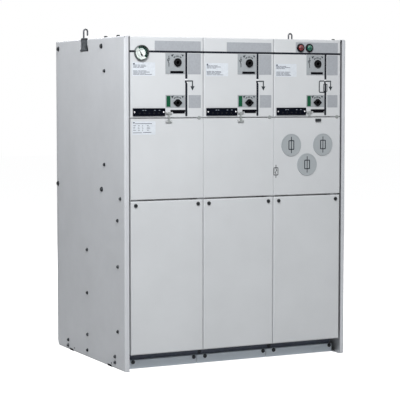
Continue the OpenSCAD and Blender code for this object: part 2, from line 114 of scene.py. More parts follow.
@dataclass(frozen=True)
class Surface:
    """A mesh in the making: points in millimetres, and blocks of faces with equally many corners."""

    points: np.ndarray
    blocks: tuple[np.ndarray, ...]

    def shifted(self, across: float, up: float, out: float = 0) -> "Surface":
        """Returns the surface moved within its drawing."""
        return Surface(self.points + np.array([across, up, out]), self.blocks)

    def turned(self, degrees: float) -> "Surface":
        """Turns the surface anticlockwise within its drawing, about the drawing's origin.

        Args:
            degrees: The angle.

        Returns:
            The turned surface.
        """
        sine, cosine = np.sin(np.radians(degrees)), np.cos(np.radians(degrees))
        turn = np.array([[cosine, sine, 0], [-sine, cosine, 0], [0, 0, 1]])
        return Surface(self.points @ turn, self.blocks)

    def on(self, side: Side, origin: Place) -> "Surface":
        """Lays the drawing on a side of the cabinet.

        Args:
            side: The side, whose directions carry the drawing's three coordinates.
            origin: Where the drawing's origin comes to lie, in millimetres.

        Returns:
            The surface in the cabinet's frame: origin + across * u + up * v + out * w.
        """
        return Surface(self.points @ np.array(side.value, float) + np.array(origin, float), self.blocks)

    @staticmethod
    def joined(parts: Sequence["Surface"]) -> "Surface":
        """Joins surfaces into one.

        Args:
            parts: The surfaces.

        Returns:
            One surface that holds them all.
        """
        starts = np.cumsum([0] + [len(part.points) for part in parts])
        blocks = tuple(block + start for part, start in zip(parts, starts) for block in part.blocks)
        return Surface(np.concatenate([part.points for part in parts]), blocks)


def chain(*runs: Place | np.ndarray) -> np.ndarray:
    """Strings single points and runs of points together into one line, as n x 2."""
    return np.concatenate([np.atleast_2d(np.asarray(run, float)) for run in runs])


def loft(grid: np.ndarray, looped: bool = False) -> Surface:
    """Skins a grid of points.

    Each row of the grid is a closed section, and neighbouring rows are joined by quads: quad (r, c)
    has the corners (r, c), (r, c + 1), (r + 1, c + 1) and (r + 1, c), with the columns counted round.

    Args:
        grid: Points as rows x columns x 3.
        looped: Whether the last row joins the first, as in a ring. Otherwise both ends are capped.

    Returns:
        The closed surface.
    """
    rows, columns = grid.shape[:2]
    row = np.arange(rows if looped else rows - 1)[:, None]
    column = np.arange(columns)[None, :]
    below, beside = (row + 1) % rows, (column + 1) % columns
    corners = [row * columns + column, row * columns + beside,
               below * columns + beside, below * columns + column]
    quads = np.stack(np.broadcast_arrays(*corners), axis=-1).reshape(-1, 4)
    if looped:
        return Surface(grid.reshape(-1, 3), (quads,))
    first = np.arange(columns)[::-1][None, :]
    last = ((rows - 1) * columns + np.arange(columns))[None, :]
    return Surface(grid.reshape(-1, 3), (quads, first, last))


def mitres(path: np.ndarray, closed: bool) -> np.ndarray:
    """Works out, for each point of a path, the step that moves it one unit to the path's left.

    With n and m the unit normals of the two stretches that meet at a point, the step is
    (n + m) / (1 + n . m), which keeps both stretches at the full distance.

    Args:
        path: Points as n x 2.
        closed: Whether the last point joins the first.

    Returns:
        The steps as n x 2.
    """
    stretch = np.roll(path, -1, axis=0) - path
    normal = np.stack([-stretch[:, 1], stretch[:, 0]], axis=1)
    length = np.linalg.norm(normal, axis=1, keepdims=True)
    normal = normal / np.maximum(length, 1e-9)
    before = np.roll(normal, 1, axis=0)
    if not closed:
        normal[-1] = normal[-2]
        before[0] = normal[0]
    return (normal + before) / (1 + np.sum(normal * before, axis=1, keepdims=True))


def arc(radius: float, start: float, stop: float, steps: int = 24, centre: Place = (0, 0)) -> np.ndarray:
    """Sets points on a circle from one angle to another: centre + radius * (cos a, sin a).

    Args:
        radius: The circle's radius.
        start: First angle in degrees, anticlockwise from the right.
        stop: Last angle in degrees.
        steps: How many stretches the arc has.
        centre: The circle's centre.

    Returns:
        The points as n x 2.
    """
    angle = np.radians(np.linspace(start, stop, steps + 1))
    return np.stack([np.cos(angle), np.sin(angle)], axis=1) * radius + np.array(centre, float)


def round_rect(width: float, height: float, radius: float, steps: int = 4) -> np.ndarray:
    """Draws a rectangle about the origin, with a quarter circle at each corner.

    Args:
        width: The rectangle's width.
        height: The rectangle's height.
        radius: The radius at its corners.
        steps: How many stretches a quarter circle has.

    Returns:
        The outline as n x 2, anticlockwise.
    """
    x, y = width / 2 - radius, height / 2 - radius
    turns = ((x, y, 0), (-x, y, 90), (-x, -y, 180), (x, -y, 270))
    return np.concatenate([arc(radius, a, a + 90, steps, (cx, cy)) for cx, cy, a in turns])


def levelled(outlines: Sequence[tuple[np.ndarray, float]], axis: int = 0) -> np.ndarray:
    """Sets outlines at their heights.

    Args:
        outlines: Outlines as n x 2, each with its height.
        axis: The axis of the result that counts the outlines.

    Returns:
        The points as an array with three coordinates in its last axis.
    """
    return np.stack([np.column_stack([points, np.full(len(points), level)]) for points, level in outlines],
                    axis=axis)


def plate(outline: np.ndarray, low: float, high: float, bevel: float = 0) -> Surface:
    """Makes a flat plate: its outline at the lower and the upper height, joined by walls.

    Args:
        outline: Closed outline as n x 2, anticlockwise.
        low: Height of its underside.
        high: Height of its upper side.
        bevel: How far the upper edge is broken, inwards and downwards alike.

    Returns:
        The closed plate.
    """
    rows = [(outline, low), (outline, high - bevel)]
    if bevel:
        rows.append((outline + mitres(outline, True) * bevel, high))
    return loft(levelled(rows))


def pierced(outline: np.ndarray, holes: Sequence[np.ndarray], low: float, high: float) -> Surface:
    """Makes a flat plate with holes.

    Both faces are filled with triangles between the loops, and walls join them round every loop.

    Args:
        outline: Closed outline as n x 2, anticlockwise.
        holes: Closed outlines of the holes, clockwise.
        low: Height of its underside.
        high: Height of its upper side.

    Returns:
        The closed plate.
    """
    loops = [outline, *holes]
    points = np.concatenate(loops)
    filled = np.array(tessellate_polygon([[(*point, 0) for point in loop.tolist()] for loop in loops]))
    first, second, third = points[filled].transpose(1, 0, 2)
    turn = np.cross(second - first, third - first)
    filled = np.where(turn[:, None] < 0, filled[:, ::-1], filled)
    starts = np.cumsum([0] + [len(loop) for loop in loops[:-1]])
    here = np.arange(len(points))
    after = np.concatenate([start + np.roll(np.arange(len(loop)), -1) for start, loop in zip(starts, loops)])
    walls = np.stack([here, after, after + len(points), here + len(points)], axis=1)
    grid = levelled([(points, low), (points, high)]).reshape(-1, 3)
    return Surface(grid, (filled[:, ::-1], filled + len(points), walls))


def box(x: float, drop: float, width: float, height: float, low: float, high: float,
        radius: float = 0, bevel: float = 0) -> Surface:
    """Makes a plate whose place is its upper left corner, measured across and downwards.

    Args:
        x: Place of its left side.
        drop: Distance of its upper side below the drawing's origin.
        width: Its width.
        height: Its height.
        low: Height of its underside over the drawing.
        high: Height of its upper side over the drawing.
        radius: Radius at its corners.
        bevel: How far its upper edge is broken.

    Returns:
        The closed plate.
    """
    outline = round_rect(width, height, max(radius, 0.01), 4 if radius else 1)
    return plate(outline, low, high, bevel).shifted(x + width / 2, -drop - height / 2)


def ribbon(path: np.ndarray, width: float, low: float, high: float, closed: bool = False) -> Surface:
    """Carries a flat rectangular section along a path, as a printed line.

    Args:
        path: The line's middle as n x 2.
        width: The line's width.
        low: Height of its underside.
        high: Height of its upper side.
        closed: Whether the line returns to its start.

    Returns:
        The line: at each point of the path the section's corners lie half a width to either side.
    """
    path = np.asarray(path, float)
    step = mitres(path, closed) * width / 2
    corners = [(path + step, low), (path - step, low), (path - step, high), (path + step, high)]
    return loft(levelled(corners, axis=1), looped=closed)


def lathe(profile: np.ndarray, sides: int = 48, hollow: bool = False) -> Surface:
    """Turns a profile round the drawing's outward axis: (r cos a, r sin a, height).

    Args:
        profile: Radius and height of each point. A closed form starts and ends on the axis.
        sides: How many sides the turned form has.
        hollow: Whether the profile is a loop beside the axis, as of a ring.

    Returns:
        The turned surface.
    """
    radius, height = np.array(profile, float).T
    angle = np.radians(np.arange(sides) * 360 / sides)
    grid = np.stack([
        radius[:, None] * np.cos(angle), radius[:, None] * np.sin(angle),
        np.broadcast_to(height[:, None], (len(radius), sides))], axis=-1)
    form = loft(grid, looped=hollow)
    return form if hollow else Surface(form.points, form.blocks[:1])


def tube(path: np.ndarray, radius: np.ndarray, sides: int = 24) -> Surface:
    """Carries a circle along a path that lies in an upright plane across the cabinet.

    The circle at a point stands square to the path: its points are p + r (n cos a + b sin a), with n
    the normal within the plane and b the plane's own normal.

    Args:
        path: Points as n x 2, across and up.
        radius: The circle's radius at each point.
        sides: How many sides the circle has.

    Returns:
        The capped tube.
    """
    along = np.gradient(path, axis=0)
    along /= np.linalg.norm(along, axis=1, keepdims=True)
    normal = np.stack([-along[:, 1], along[:, 0]], axis=1)
    angle = np.radians(np.arange(sides) * 360 / sides)
    flat = path[:, None, :] + radius[:, None, None] * np.cos(angle)[None, :, None] * normal[:, None, :]
    return loft(np.concatenate([flat, (radius[:, None] * np.sin(angle))[..., None]], axis=-1))


# ---------------------------------------------------------------- finishes


class Nodes:
    """Adds the nodes of one tree and links them."""

    def __init__(self, tree: bpy.types.NodeTree) -> None:
        """Empties the tree.

        Args:
            tree: The node tree of a material or a world.
        """
        self.tree = tree
        tree.nodes.clear()

    def add(self, kind: str, sockets: dict[str | int, object] | None = None,
            **values: object) -> bpy.types.Node:
        """Adds a node.

        Args:
            kind: The node's type name.
            sockets: Values of its inputs, by name or number.
            values: Its own properties by name.

        Returns:
            The node.
        """
        node = self.tree.nodes.new(kind)
        for key, value in values.items():
            setattr(node, key, value)
        for key, value in (sockets or {}).items():
            node.inputs[key].default_value = value
        return node

    def wire(self, source: Socket, target: Socket) -> None:
        """Links an output to an input."""
        self.tree.links.new(source, target)


class Graph(Nodes):
    """Builds the nodes of one material around a Principled shader."""

    def __init__(self, name: str) -> None:
        """Starts a material.

        Args:
            name: The material's name.
        """
        self.material = bpy.data.materials.new(name)
        self.material.use_nodes = True
        super().__init__(self.material.node_tree)
        self.shader = self.add("ShaderNodeBsdfPrincipled")
        output = self.add("ShaderNodeOutputMaterial")
        self.wire(self.shader.outputs["BSDF"], output.inputs["Surface"])
        self.place = self.add("ShaderNodeTexCoord").outputs["Object"]

    def paint(self, colour: Socket, rough: Socket, **values: float) -> None:
        """Gives the shader its colour and roughness.

        Args:
            colour: The colour's pattern.
            rough: The roughness' pattern.
            values: Other sockets of the shader, with underscores for the spaces in their names.
        """
        self.wire(colour, self.shader.inputs["Base Color"])
        self.wire(rough, self.shader.inputs["Roughness"])
        for key, value in values.items():
            self.shader.inputs[key.replace("_", " ")].default_value = value

    def spread(self, stretch: Place) -> Socket:
        """Returns the piece's own coordinates, scaled along X, Y and Z.

        Args:
            stretch: The three scales.

        Returns:
            The coordinates' socket.
        """
        mapping = self.add("ShaderNodeMapping", {"Scale": stretch})
        self.wire(self.place, mapping.inputs["Vector"])
        return mapping.outputs["Vector"]

    def noise(self, scale: float, detail: float = 2, stretch: Place = (1, 1, 1)) -> Socket:
        """Adds a noise pattern.

        Args:
            scale: Patches in a metre.
            detail: How many finer octaves it has.
            stretch: Scale along each axis, for drawn-out patterns.

        Returns:
            The pattern's level.
        """
        node = self.add("ShaderNodeTexNoise", {"Scale": scale, "Detail": detail})
        self.wire(self.spread(stretch), node.inputs["Vector"])
        return node.outputs["Fac"]

    def cells(self, scale: float) -> Socket:
        """Adds a pattern of crystal-like cells.

        Args:
            scale: Cells in a metre.

        Returns:
            Each cell's own level.
        """
        node = self.add("ShaderNodeTexVoronoi", {"Scale": scale})
        self.wire(self.spread((1, 1, 1)), node.inputs["Vector"])
        split = self.add("ShaderNodeSeparateColor")
        self.wire(node.outputs["Color"], split.inputs["Color"])
        return split.outputs["Red"]

    def levels(self, value: Socket, low: float, high: float,
               span: tuple[float, float] = (0.3, 0.7)) -> Socket:
        """Maps a pattern's usual span to the levels from low to high.

        Args:
            value: The pattern.
            low: Level at the span's start.
            high: Level at the span's end.
            span: The part of the pattern that is mapped.

        Returns:
            The mapped pattern.
        """
        node = self.add("ShaderNodeMapRange", {
            "From Min": span[0], "From Max": span[1], "To Min": low, "To Max": high})
        self.wire(value, node.inputs["Value"])
        return node.outputs["Result"]

    def tones(self, value: Socket, stops: Sequence[tuple[float, Colour]]) -> Socket:
        """Turns a pattern into colours.

        Args:
            value: The pattern.
            stops: Levels of the pattern with the colour at each.

        Returns:
            The colour.
        """
        node = self.add("ShaderNodeValToRGB")
        while len(node.color_ramp.elements) < len(stops):
            node.color_ramp.elements.new(0.5)
        for element, (level, colour) in zip(node.color_ramp.elements, stops):
            element.position = level
            element.color = (*colour, 1)
        self.wire(value, node.inputs["Fac"])
        return node.outputs["Color"]

    def mixed(self, factor: Socket, one: Socket, other: Socket) -> Socket:
        """Blends two colours.

        Args:
            factor: The other colour's share.
            one: The first colour.
            other: The other colour.

        Returns:
            The blend.
        """
        node = self.add("ShaderNodeMix", data_type="RGBA")
        for source, target in ((factor, MIX_FACTOR), (one, MIX_ONE), (other, MIX_OTHER)):
            self.wire(source, node.inputs[target])
        return node.outputs[MIX_COLOUR]

    def relief(self, *layers: tuple[Socket, float]) -> None:
        """Gives the surface a relief from layers of height patterns.

        Args:
            layers: Patterns, each with its height in millimetres.
        """
        below = None
        for height, depth in layers:
            node = self.add("ShaderNodeBump", {"Strength": 1, "Distance": depth * MM})
            self.wire(height, node.inputs["Height"])
            if below:
                self.wire(below, node.inputs["Normal"])
            below = node.outputs["Normal"]
        self.wire(below, self.shader.inputs["Normal"])


@dataclass(frozen=True)
class Finish(ABC):
    """What a piece's surface is made of. Its material is built once and shared.

    In each finish the noise's scales are patches in a metre, reliefs are millimetres, and a stop is a
    level of the pattern with the factor that makes the colour lighter or darker there.
    """

    name: str
    colour: Colour

    def material(self) -> bpy.types.Material:
        """Finds the finish's material, or builds it at the first call.

        Returns:
            The material.
        """
        if self.name not in bpy.data.materials:
            self.build(Graph(self.name))
        return bpy.data.materials[self.name]

    def tone(self, graph: Graph, pattern: Socket, *stops: tuple[float, float]) -> Socket:
        """Varies the finish's colour by a pattern.

        Args:
            graph: The material's nodes.
            pattern: The pattern.
            stops: Levels of the pattern, each with the factor for the colour there.

        Returns:
            The varied colour.
        """
        return graph.tones(pattern, [
            (level, tuple(min(1.0, part * factor) for part in self.colour)) for level, factor in stops])

    @abstractmethod
    def build(self, graph: Graph) -> None:
        """Wires the finish's nodes into a graph."""


@dataclass(frozen=True)
class PowderCoat(Finish):
    """Baked powder paint on sheet: a faint drift of tone, uneven gloss and a fine orange peel."""

    gloss: float = 0.47
    peel: float = 0.045
    drift: float = 0.03

    def build(self, graph: Graph) -> None:
        """Wires tone from broad and fine noise, roughness from mid noise and relief from the peel.

        Args:
            graph: The material's nodes.
        """
        drift = self.drift
        broad = self.tone(graph, graph.noise(2.2, 3), (0.3, 1 - drift), (0.7, 1 + drift))
        handled = self.tone(graph, graph.noise(9, 5), (0.35, 1 - 1.6 * drift), (0.65, 1 + 0.6 * drift))
        speck = graph.levels(graph.noise(260, 2), 0.25, 0.5)
        rough = graph.levels(graph.noise(38, 4), self.gloss - 0.05, self.gloss + 0.07)
        graph.paint(graph.mixed(speck, broad, handled), rough, IOR=1.5)
        graph.relief((graph.noise(650, 2), self.peel), (graph.noise(26, 1), self.peel))


@dataclass(frozen=True)
class Film(Finish):
    """Printed plastic film or ink: even colour with a soft mottle, satin gloss and a dimpled face."""

    gloss: float = 0.42
    shine: float = 0.5

    def build(self, graph: Graph) -> None:
        """Wires tone from fine mottle, roughness from rub marks and relief from dimples.

        Args:
            graph: The material's nodes.
        """
        mottle = self.tone(graph, graph.noise(140, 4), (0.3, 0.94), (0.7, 1.05))
        rubbed = graph.levels(graph.noise(60, 3, (1, 1, 4)), self.gloss - 0.06, self.gloss + 0.1)
        graph.paint(mottle, rubbed, Specular_IOR_Level=self.shine)
        graph.relief((graph.noise(1400, 1), 0.015))


@dataclass(frozen=True)
class Moulded(Finish):
    """Moulded plastic: spark-eroded grain, a breath of tone and a gloss that wear has polished."""

    gloss: float = 0.45
    grain: float = 0.03
    clear: float = 0.0
    shine: float = 0.5

    def build(self, graph: Graph) -> None:
        """Wires tone, roughness and a two-scale grain, and a clear skin where the piece has one.

        Args:
            graph: The material's nodes.
        """
        tone = self.tone(graph, graph.noise(55, 4), (0.3, 0.86), (0.7, 1.12))
        worn = graph.levels(graph.noise(120, 3), self.gloss - 0.08, self.gloss + 0.08)
        graph.paint(tone, worn, Coat_Weight=self.clear, Coat_Roughness=0.08, Specular_IOR_Level=self.shine)
        graph.relief((graph.noise(1800, 2), self.grain), (graph.noise(300, 1), self.grain))


@dataclass(frozen=True)
class Zinc(Finish):
    """Galvanised steel: flat crystals of several tones, duller at their borders."""

    flake: float = 90
    gloss: float = 0.4

    def build(self, graph: Graph) -> None:
        """Wires tone and roughness from crystal cells, and relief from a fine skin.

        Args:
            graph: The material's nodes.
        """
        crystals = graph.cells(self.flake)
        light = self.tone(graph, crystals, (0.1, 0.78), (0.9, 1.15))
        stain = self.tone(graph, graph.noise(14, 4), (0.35, 0.8), (0.7, 1))
        dull = graph.levels(crystals, self.gloss - 0.08, self.gloss + 0.12, (0, 1))
        graph.paint(graph.mixed(graph.levels(graph.noise(7, 2), 0.2, 0.6), light, stain), dull, Metallic=1.0)
        graph.relief((graph.noise(420, 3), 0.03), (crystals, 0.02))


@dataclass(frozen=True)
class Brushed(Finish):
    """Brushed or turned metal: fine lines drawn out along one axis."""

    lines: tuple[float, float, float] = (0.03, 1, 1)
    gloss: float = 0.32

    def build(self, graph: Graph) -> None:
        """Wires tone, roughness and relief from one drawn-out noise and a broad stain.

        Args:
            graph: The material's nodes.
        """
        strokes = graph.noise(900, 2, self.lines)
        fine = self.tone(graph, strokes, (0.3, 0.85), (0.7, 1.1))
        stain = self.tone(graph, graph.noise(18, 3), (0.3, 0.82), (0.7, 1))
        rough = graph.levels(strokes, self.gloss - 0.07, self.gloss + 0.1)
        graph.paint(graph.mixed(graph.levels(graph.noise(30, 2), 0.2, 0.5), fine, stain), rough, Metallic=1.0)
        graph.relief((strokes, 0.01), (graph.noise(240, 2), 0.02))


@dataclass(frozen=True)
class Rubber(Finish):
    """Dull moulded rubber with a dusty bloom on it."""

    bloom: Colour = (0.12, 0.125, 0.135)

    def build(self, graph: Graph) -> None:
        """Wires bloom patches into the colour and roughness, over a leathery relief.

        Args:
            graph: The material's nodes.
        """
        patches = graph.noise(70, 5)
        bloomed = graph.tones(patches, ((0.38, self.colour), (0.72, self.bloom)))
        graph.paint(bloomed, graph.levels(patches, 0.5, 0.78))
        graph.relief((graph.noise(900, 3), 0.05), (graph.noise(160, 2), 0.06))


@dataclass(frozen=True)
class Pane(Finish):
    """Clear glass with faint wipe marks."""

    def build(self, graph: Graph) -> None:
        """Wires a nearly white tint, wipe marks in the roughness and a slight waviness.

        Args:
            graph: The material's nodes.
        """
        tint = self.tone(graph, graph.noise(30, 2), (0.3, 0.98), (0.7, 1))
        wiped = graph.levels(graph.noise(90, 3, (1, 1, 5)), 0.02, 0.09)
        graph.paint(tint, wiped, Transmission_Weight=1.0, IOR=1.22)
        graph.relief((graph.noise(40, 1), 0.01))


class Finishes:
    """The finishes of the unit's pieces, by where they are used."""

    COVERS = PowderCoat("cover_paint", (0.58, 0.60, 0.62))
    SIDES = PowderCoat("side_cover_paint", (0.56, 0.58, 0.61), drift=0.035)
    # painted light: a pale bluish paint, set lighter still to make up for the shade the plinth lies in under
    # the doors
    PLINTH = PowderCoat("plinth_paint", (0.80, 0.88, 0.955), gloss=0.5)
    PLATES = Film("control_plate_film", (0.32, 0.345, 0.365), gloss=0.5)
    DISCS = PowderCoat("fuse_disc_paint", (0.35, 0.38, 0.40), gloss=0.45)
    STRIPS = Film("field_strip_film", (0.34, 0.36, 0.39))
    LABEL = Film("label_film", (0.62, 0.66, 0.71))
    TYPE = Film("label_ink", (0.05, 0.06, 0.09))
    LINE = Film("diagram_ink", (0.010, 0.012, 0.018), gloss=0.45, shine=0.15)
    PALE = Film("pale_ink", (0.80, 0.81, 0.83))
    SYMBOL = Film("symbol_ink", (0.030, 0.036, 0.042), gloss=0.45, shine=0.2)
    DARK = Moulded("black_moulding", (0.003, 0.003, 0.005), gloss=0.5, shine=0.04)
    PANEL = Moulded("voltage_panel_moulding", (0.002, 0.003, 0.007), gloss=0.5, shine=0.04)
    COLLAR = Moulded("shaft_collar_moulding", (0.003, 0.003, 0.004), gloss=0.4, grain=0.02, shine=0.1)
    LATCH = Moulded("latch_grey", (0.29, 0.31, 0.31), gloss=0.4)
    FLAG = Moulded("flag_green", (0.004, 0.075, 0.032), gloss=0.4, shine=0.2)
    RED = Moulded("button_red", (0.17, 0.010, 0.014), gloss=0.16, grain=0.004, clear=0.8, shine=0.3)
    GREEN = Moulded("button_green", (0.006, 0.11, 0.072), gloss=0.16, grain=0.004, clear=0.8, shine=0.3)
    RIM = Brushed("gauge_rim_metal", (0.15, 0.17, 0.17), gloss=0.24)
    DIAL = Film("gauge_dial_card", (0.93, 0.97, 0.96))
    SCALE_GREEN = Film("gauge_scale_green", (0.002, 0.040, 0.026), shine=0.2)
    SCALE_PALE = Film("gauge_scale_pale", (0.66, 0.78, 0.73))
    GLASS = Pane("gauge_glass", (0.97, 0.99, 0.98))
    ZINC = Zinc("frame_zinc", (0.56, 0.57, 0.59))
    TANK = Brushed("tank_steel", (0.60, 0.60, 0.61))
    BOLT = Zinc("plated_bolt", (0.48, 0.48, 0.50), flake=700, gloss=0.3)
    DARK_BOLT = Zinc("dark_bolt", (0.055, 0.060, 0.066), flake=700, gloss=0.4)
    HOOK = Zinc("hook_metal", (0.10, 0.105, 0.115), flake=500, gloss=0.36)
    RUBBER = Rubber("boot_rubber", (0.024, 0.029, 0.035), bloom=(0.080, 0.090, 0.102))
    # painted shade: a dark sheet drawn as rubber with a bloom, laid in the recess under the doors to stand
    # for the shade there
    SEAL = Rubber("recess_seal_rubber", (0.085, 0.100, 0.135), bloom=(0.120, 0.140, 0.180))
    SOCKET = Moulded("socket_rim_dark", (0.006, 0.007, 0.008), gloss=0.4, grain=0.01, shine=0.2)
    WINDOW = Film("indicator_window", (0.24, 0.28, 0.32), gloss=0.2)
    BRIGHT = Zinc("bright_screw", (0.78, 0.78, 0.80), flake=900, gloss=0.28)
    GLOSS_BLACK = Moulded("bezel_black", (0.005, 0.005, 0.007), gloss=0.3, grain=0.01, shine=0.2)
    BAND = Rubber("boot_band_rubber", (0.008, 0.008, 0.010), bloom=(0.03, 0.03, 0.034))


def add_piece(name: str, surface: Surface, finish: Finish, body: str = UNIT,
              stands_for: Sequence[str] = ()) -> bpy.types.Object:
    """Makes a piece from a surface and enters it in the frame.

    Args:
        name: The piece's name.
        surface: Its shape in the cabinet's frame, in millimetres.
        finish: Its finish.
        body: The frame's body that carries it.
        stands_for: Nodes of the frame that it is shown instead of.

    Returns:
        The piece's object.
    """
    mesh = bpy.data.meshes.new(name)
    mesh.from_pydata(surface.points * MM, [], [face for block in surface.blocks for face in block.tolist()])
    form = bmesh.new()
    form.from_mesh(mesh)
    bmesh.ops.remove_doubles(form, verts=form.verts, dist=MERGE)
    bmesh.ops.dissolve_degenerate(form, edges=form.edges, dist=SLIVER)
    bmesh.ops.recalc_face_normals(form, faces=form.faces)
    form.to_mesh(mesh)
    form.free()
    mesh.shade_smooth()
    mesh.set_sharp_from_angle(angle=SHARP)
    mesh.materials.append(finish.material())
    piece = bpy.data.objects.new(name, mesh)
    bpy.context.scene.collection.objects.link(piece)
    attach(piece, body)
    if stands_for:
        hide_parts(*stands_for)
    log.info("%s: %d faces, %s, on %s", name, len(mesh.polygons), finish.name, body)
    return piece


def dress(finish: Finish, *nodes: str) -> None:
    """Gives nodes of the frame a finish.

    Args:
        finish: The finish.
        nodes: The nodes' names.
    """
    for node in nodes:
        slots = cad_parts[node].data.materials
        slots.clear()
        slots.append(finish.material())
        log.info("%s: %s", node, finish.name)


def numbered(name: str) -> list[str]:
    """Returns a node's name for each of the three modules."""
    return [f"{name}_{number}" for number in (1, 2, 3)]


@dataclass(frozen=True)
class Bay:
    """The front of one module, with places measured from its left edge and its covers' top edge."""

    number: int
    left: float
    top: float
    front: float
    plate_x: float = 156.2   # the control plates' left edge
    proud: float = 1.0       # the control plates stand this far before the cover

    @classmethod
    def of(cls, number: int) -> "Bay":
        """Finds a module's front from the frame's nodes.

        Args:
            number: The module, counted from the left.

        Returns:
            Its bay.
        """
        low, high = node_box(f"upper_cover_{number}")
        return cls(number, node_box(f"switch_plate_{number}")[0].x - cls.plate_x, high.z, low.y)

    def lay(self, *parts: Surface, lift: float = 0) -> Surface:
        """Lays drawings on the module's front.

        Args:
            parts: Drawings, whose origin is the module's upper left corner.
            lift: Distance of what they lie on before the cover's face.

        Returns:
            Them all as one surface in the cabinet's frame.
        """
        return Surface.joined(parts).on(Side.FRONT, (self.left, self.front - lift, self.top))


# ---------------------------------------------------------------- studio


@dataclass(frozen=True)
class Lamp:
    """A rectangular softbox that faces a point. Places are in metres, and the power is in watts."""

    name: str
    place: tuple[float, float, float]
    target: tuple[float, float, float]
    size: tuple[float, float]
    power: float

    def build(self) -> None:
        """Makes the lamp, tilted from its downward rest by the angles of the line to its target."""
        data = bpy.data.lights.new(self.name, "AREA")
        data.shape = "RECTANGLE"
        data.size, data.size_y = self.size
        data.energy = self.power
        lamp = bpy.data.objects.new(self.name, data)
        lamp.location = self.place
        x, y, z = np.array(self.target) - np.array(self.place)
        lamp.rotation_euler = Euler((np.arctan2(np.hypot(x, y), -z), 0, np.arctan2(x, -y) + np.pi), "XYZ")
        bpy.context.scene.collection.objects.link(lamp)


@dataclass
class Studio:
    """Plain studio: a pale floor, a white surround, softboxes round the cabinet and the camera."""

    camera_place: tuple[float, float, float] = (-2.84645, -5.74125, 1.09972)
    camera_turn: tuple[float, float, float] = (85.98, 0.0, -26.47)
    lens: float = 133.36
    sensor: float = 36.0
    ambient: float = 0.10
    ambient_colour: tuple[float, float, float, float] = (0.96, 0.98, 1.0, 1)
    floor_size: float = 40.0
    floor_colour: tuple[float, float, float, float] = (0.6, 0.6, 0.6, 1)
    floor_lift: float = 0.93   # how far the camera sees the floor lifted to white
    lamps: tuple[Lamp, ...] = (
        Lamp("key_softbox", (-1.2, -2.4, 2.6), (-0.2, -0.3, 1.0), (1.2, 1.0), 74),
        Lamp("front_softbox", (0.9, -4.6, 4.4), (0.0, -0.2, 0.75), (3.4, 2.2), 66),
        Lamp("left_softbox", (-1.9, -0.3, 2.4), (-0.5, 0.0, 1.2), (1.0, 1.0), 23),
        Lamp("right_softbox", (3.4, 1.2, 2.6), (0.5, 0.1, 0.8), (1.4, 1.4), 45),
        Lamp("rear_softbox", (0.9, 3.6, 2.8), (0.0, 0.4, 0.8), (2.2, 1.6), 85))

    def build(self) -> None:
        """Makes the camera, the lamps, the surround and the floor."""
        self.add_camera()
        for lamp in self.lamps:
            lamp.build()
        self.add_surround()
        self.add_floor()

    def add_camera(self) -> None:
        """Places the camera and makes it the scene's."""
        data = bpy.data.cameras.new("camera")
        data.lens = self.lens
        data.sensor_width = self.sensor
        data.dof.use_dof = False
        camera = bpy.data.objects.new("camera", data)
        camera.location = self.camera_place
        camera.rotation_euler = Euler(np.radians(self.camera_turn), "XYZ")
        bpy.context.scene.collection.objects.link(camera)
        bpy.context.scene.camera = camera

    def add_surround(self) -> None:
        """Lights the scene softly, and shows white to the camera, to gloss and through glass."""
        world = bpy.data.worlds.new("surround")
        bpy.context.scene.world = world
        world.use_nodes = True
        nodes = Nodes(world.node_tree)
        rays = nodes.add("ShaderNodeLightPath").outputs
        polished = nodes.add("ShaderNodeMath", operation="MAXIMUM")
        seen = nodes.add("ShaderNodeMath", operation="MAXIMUM")
        soft = nodes.add("ShaderNodeBackground", {"Color": self.ambient_colour, "Strength": self.ambient})
        white = nodes.add("ShaderNodeBackground", {"Color": WHITE, "Strength": 1})
        mix = nodes.add("ShaderNodeMixShader")
        output = nodes.add("ShaderNodeOutputWorld")
        for source, node, socket in (
                (rays["Is Glossy Ray"], polished, 0), (rays["Is Transmission Ray"], polished, 1),
                (rays["Is Camera Ray"], seen, 0), (polished.outputs[0], seen, 1),
                (seen.outputs[0], mix, 0), (soft.outputs[0], mix, 1), (white.outputs[0], mix, 2),
                (mix.outputs[0], output, "Surface")):
            nodes.wire(source, node.inputs[socket])

    def add_floor(self) -> None:
        """Lays the pale floor. It keeps the cabinet's soft shadow."""
        half = self.floor_size / 2
        mesh = bpy.data.meshes.new("floor")
        mesh.from_pydata([(-half, -half, 0), (half, -half, 0), (half, half, 0), (-half, half, 0)], [],
                         [(0, 1, 2, 3)])
        floor = bpy.data.objects.new("floor", mesh)
        bpy.context.scene.collection.objects.link(floor)
        material = bpy.data.materials.new("floor_card")
        material.use_nodes = True
        nodes = Nodes(material.node_tree)
        card = nodes.add("ShaderNodeBsdfDiffuse", {"Color": self.floor_colour})
        lift = nodes.add("ShaderNodeEmission", {"Color": WHITE})
        rays = nodes.add("ShaderNodeLightPath").outputs
        share = nodes.add("ShaderNodeMath", {1: self.floor_lift}, operation="MULTIPLY")
        total = nodes.add("ShaderNodeAddShader")
        output = nodes.add("ShaderNodeOutputMaterial")
        for source, node, socket in (
                (rays["Is Camera Ray"], share, 0), (share.outputs[0], lift, "Strength"),
                (card.outputs[0], total, 0), (lift.outputs[0], total, 1),
                (total.outputs[0], output, "Surface")):
            nodes.wire(source, node.inputs[socket])
        mesh.materials.append(material)


# ---------------------------------------------------------------- cabinet


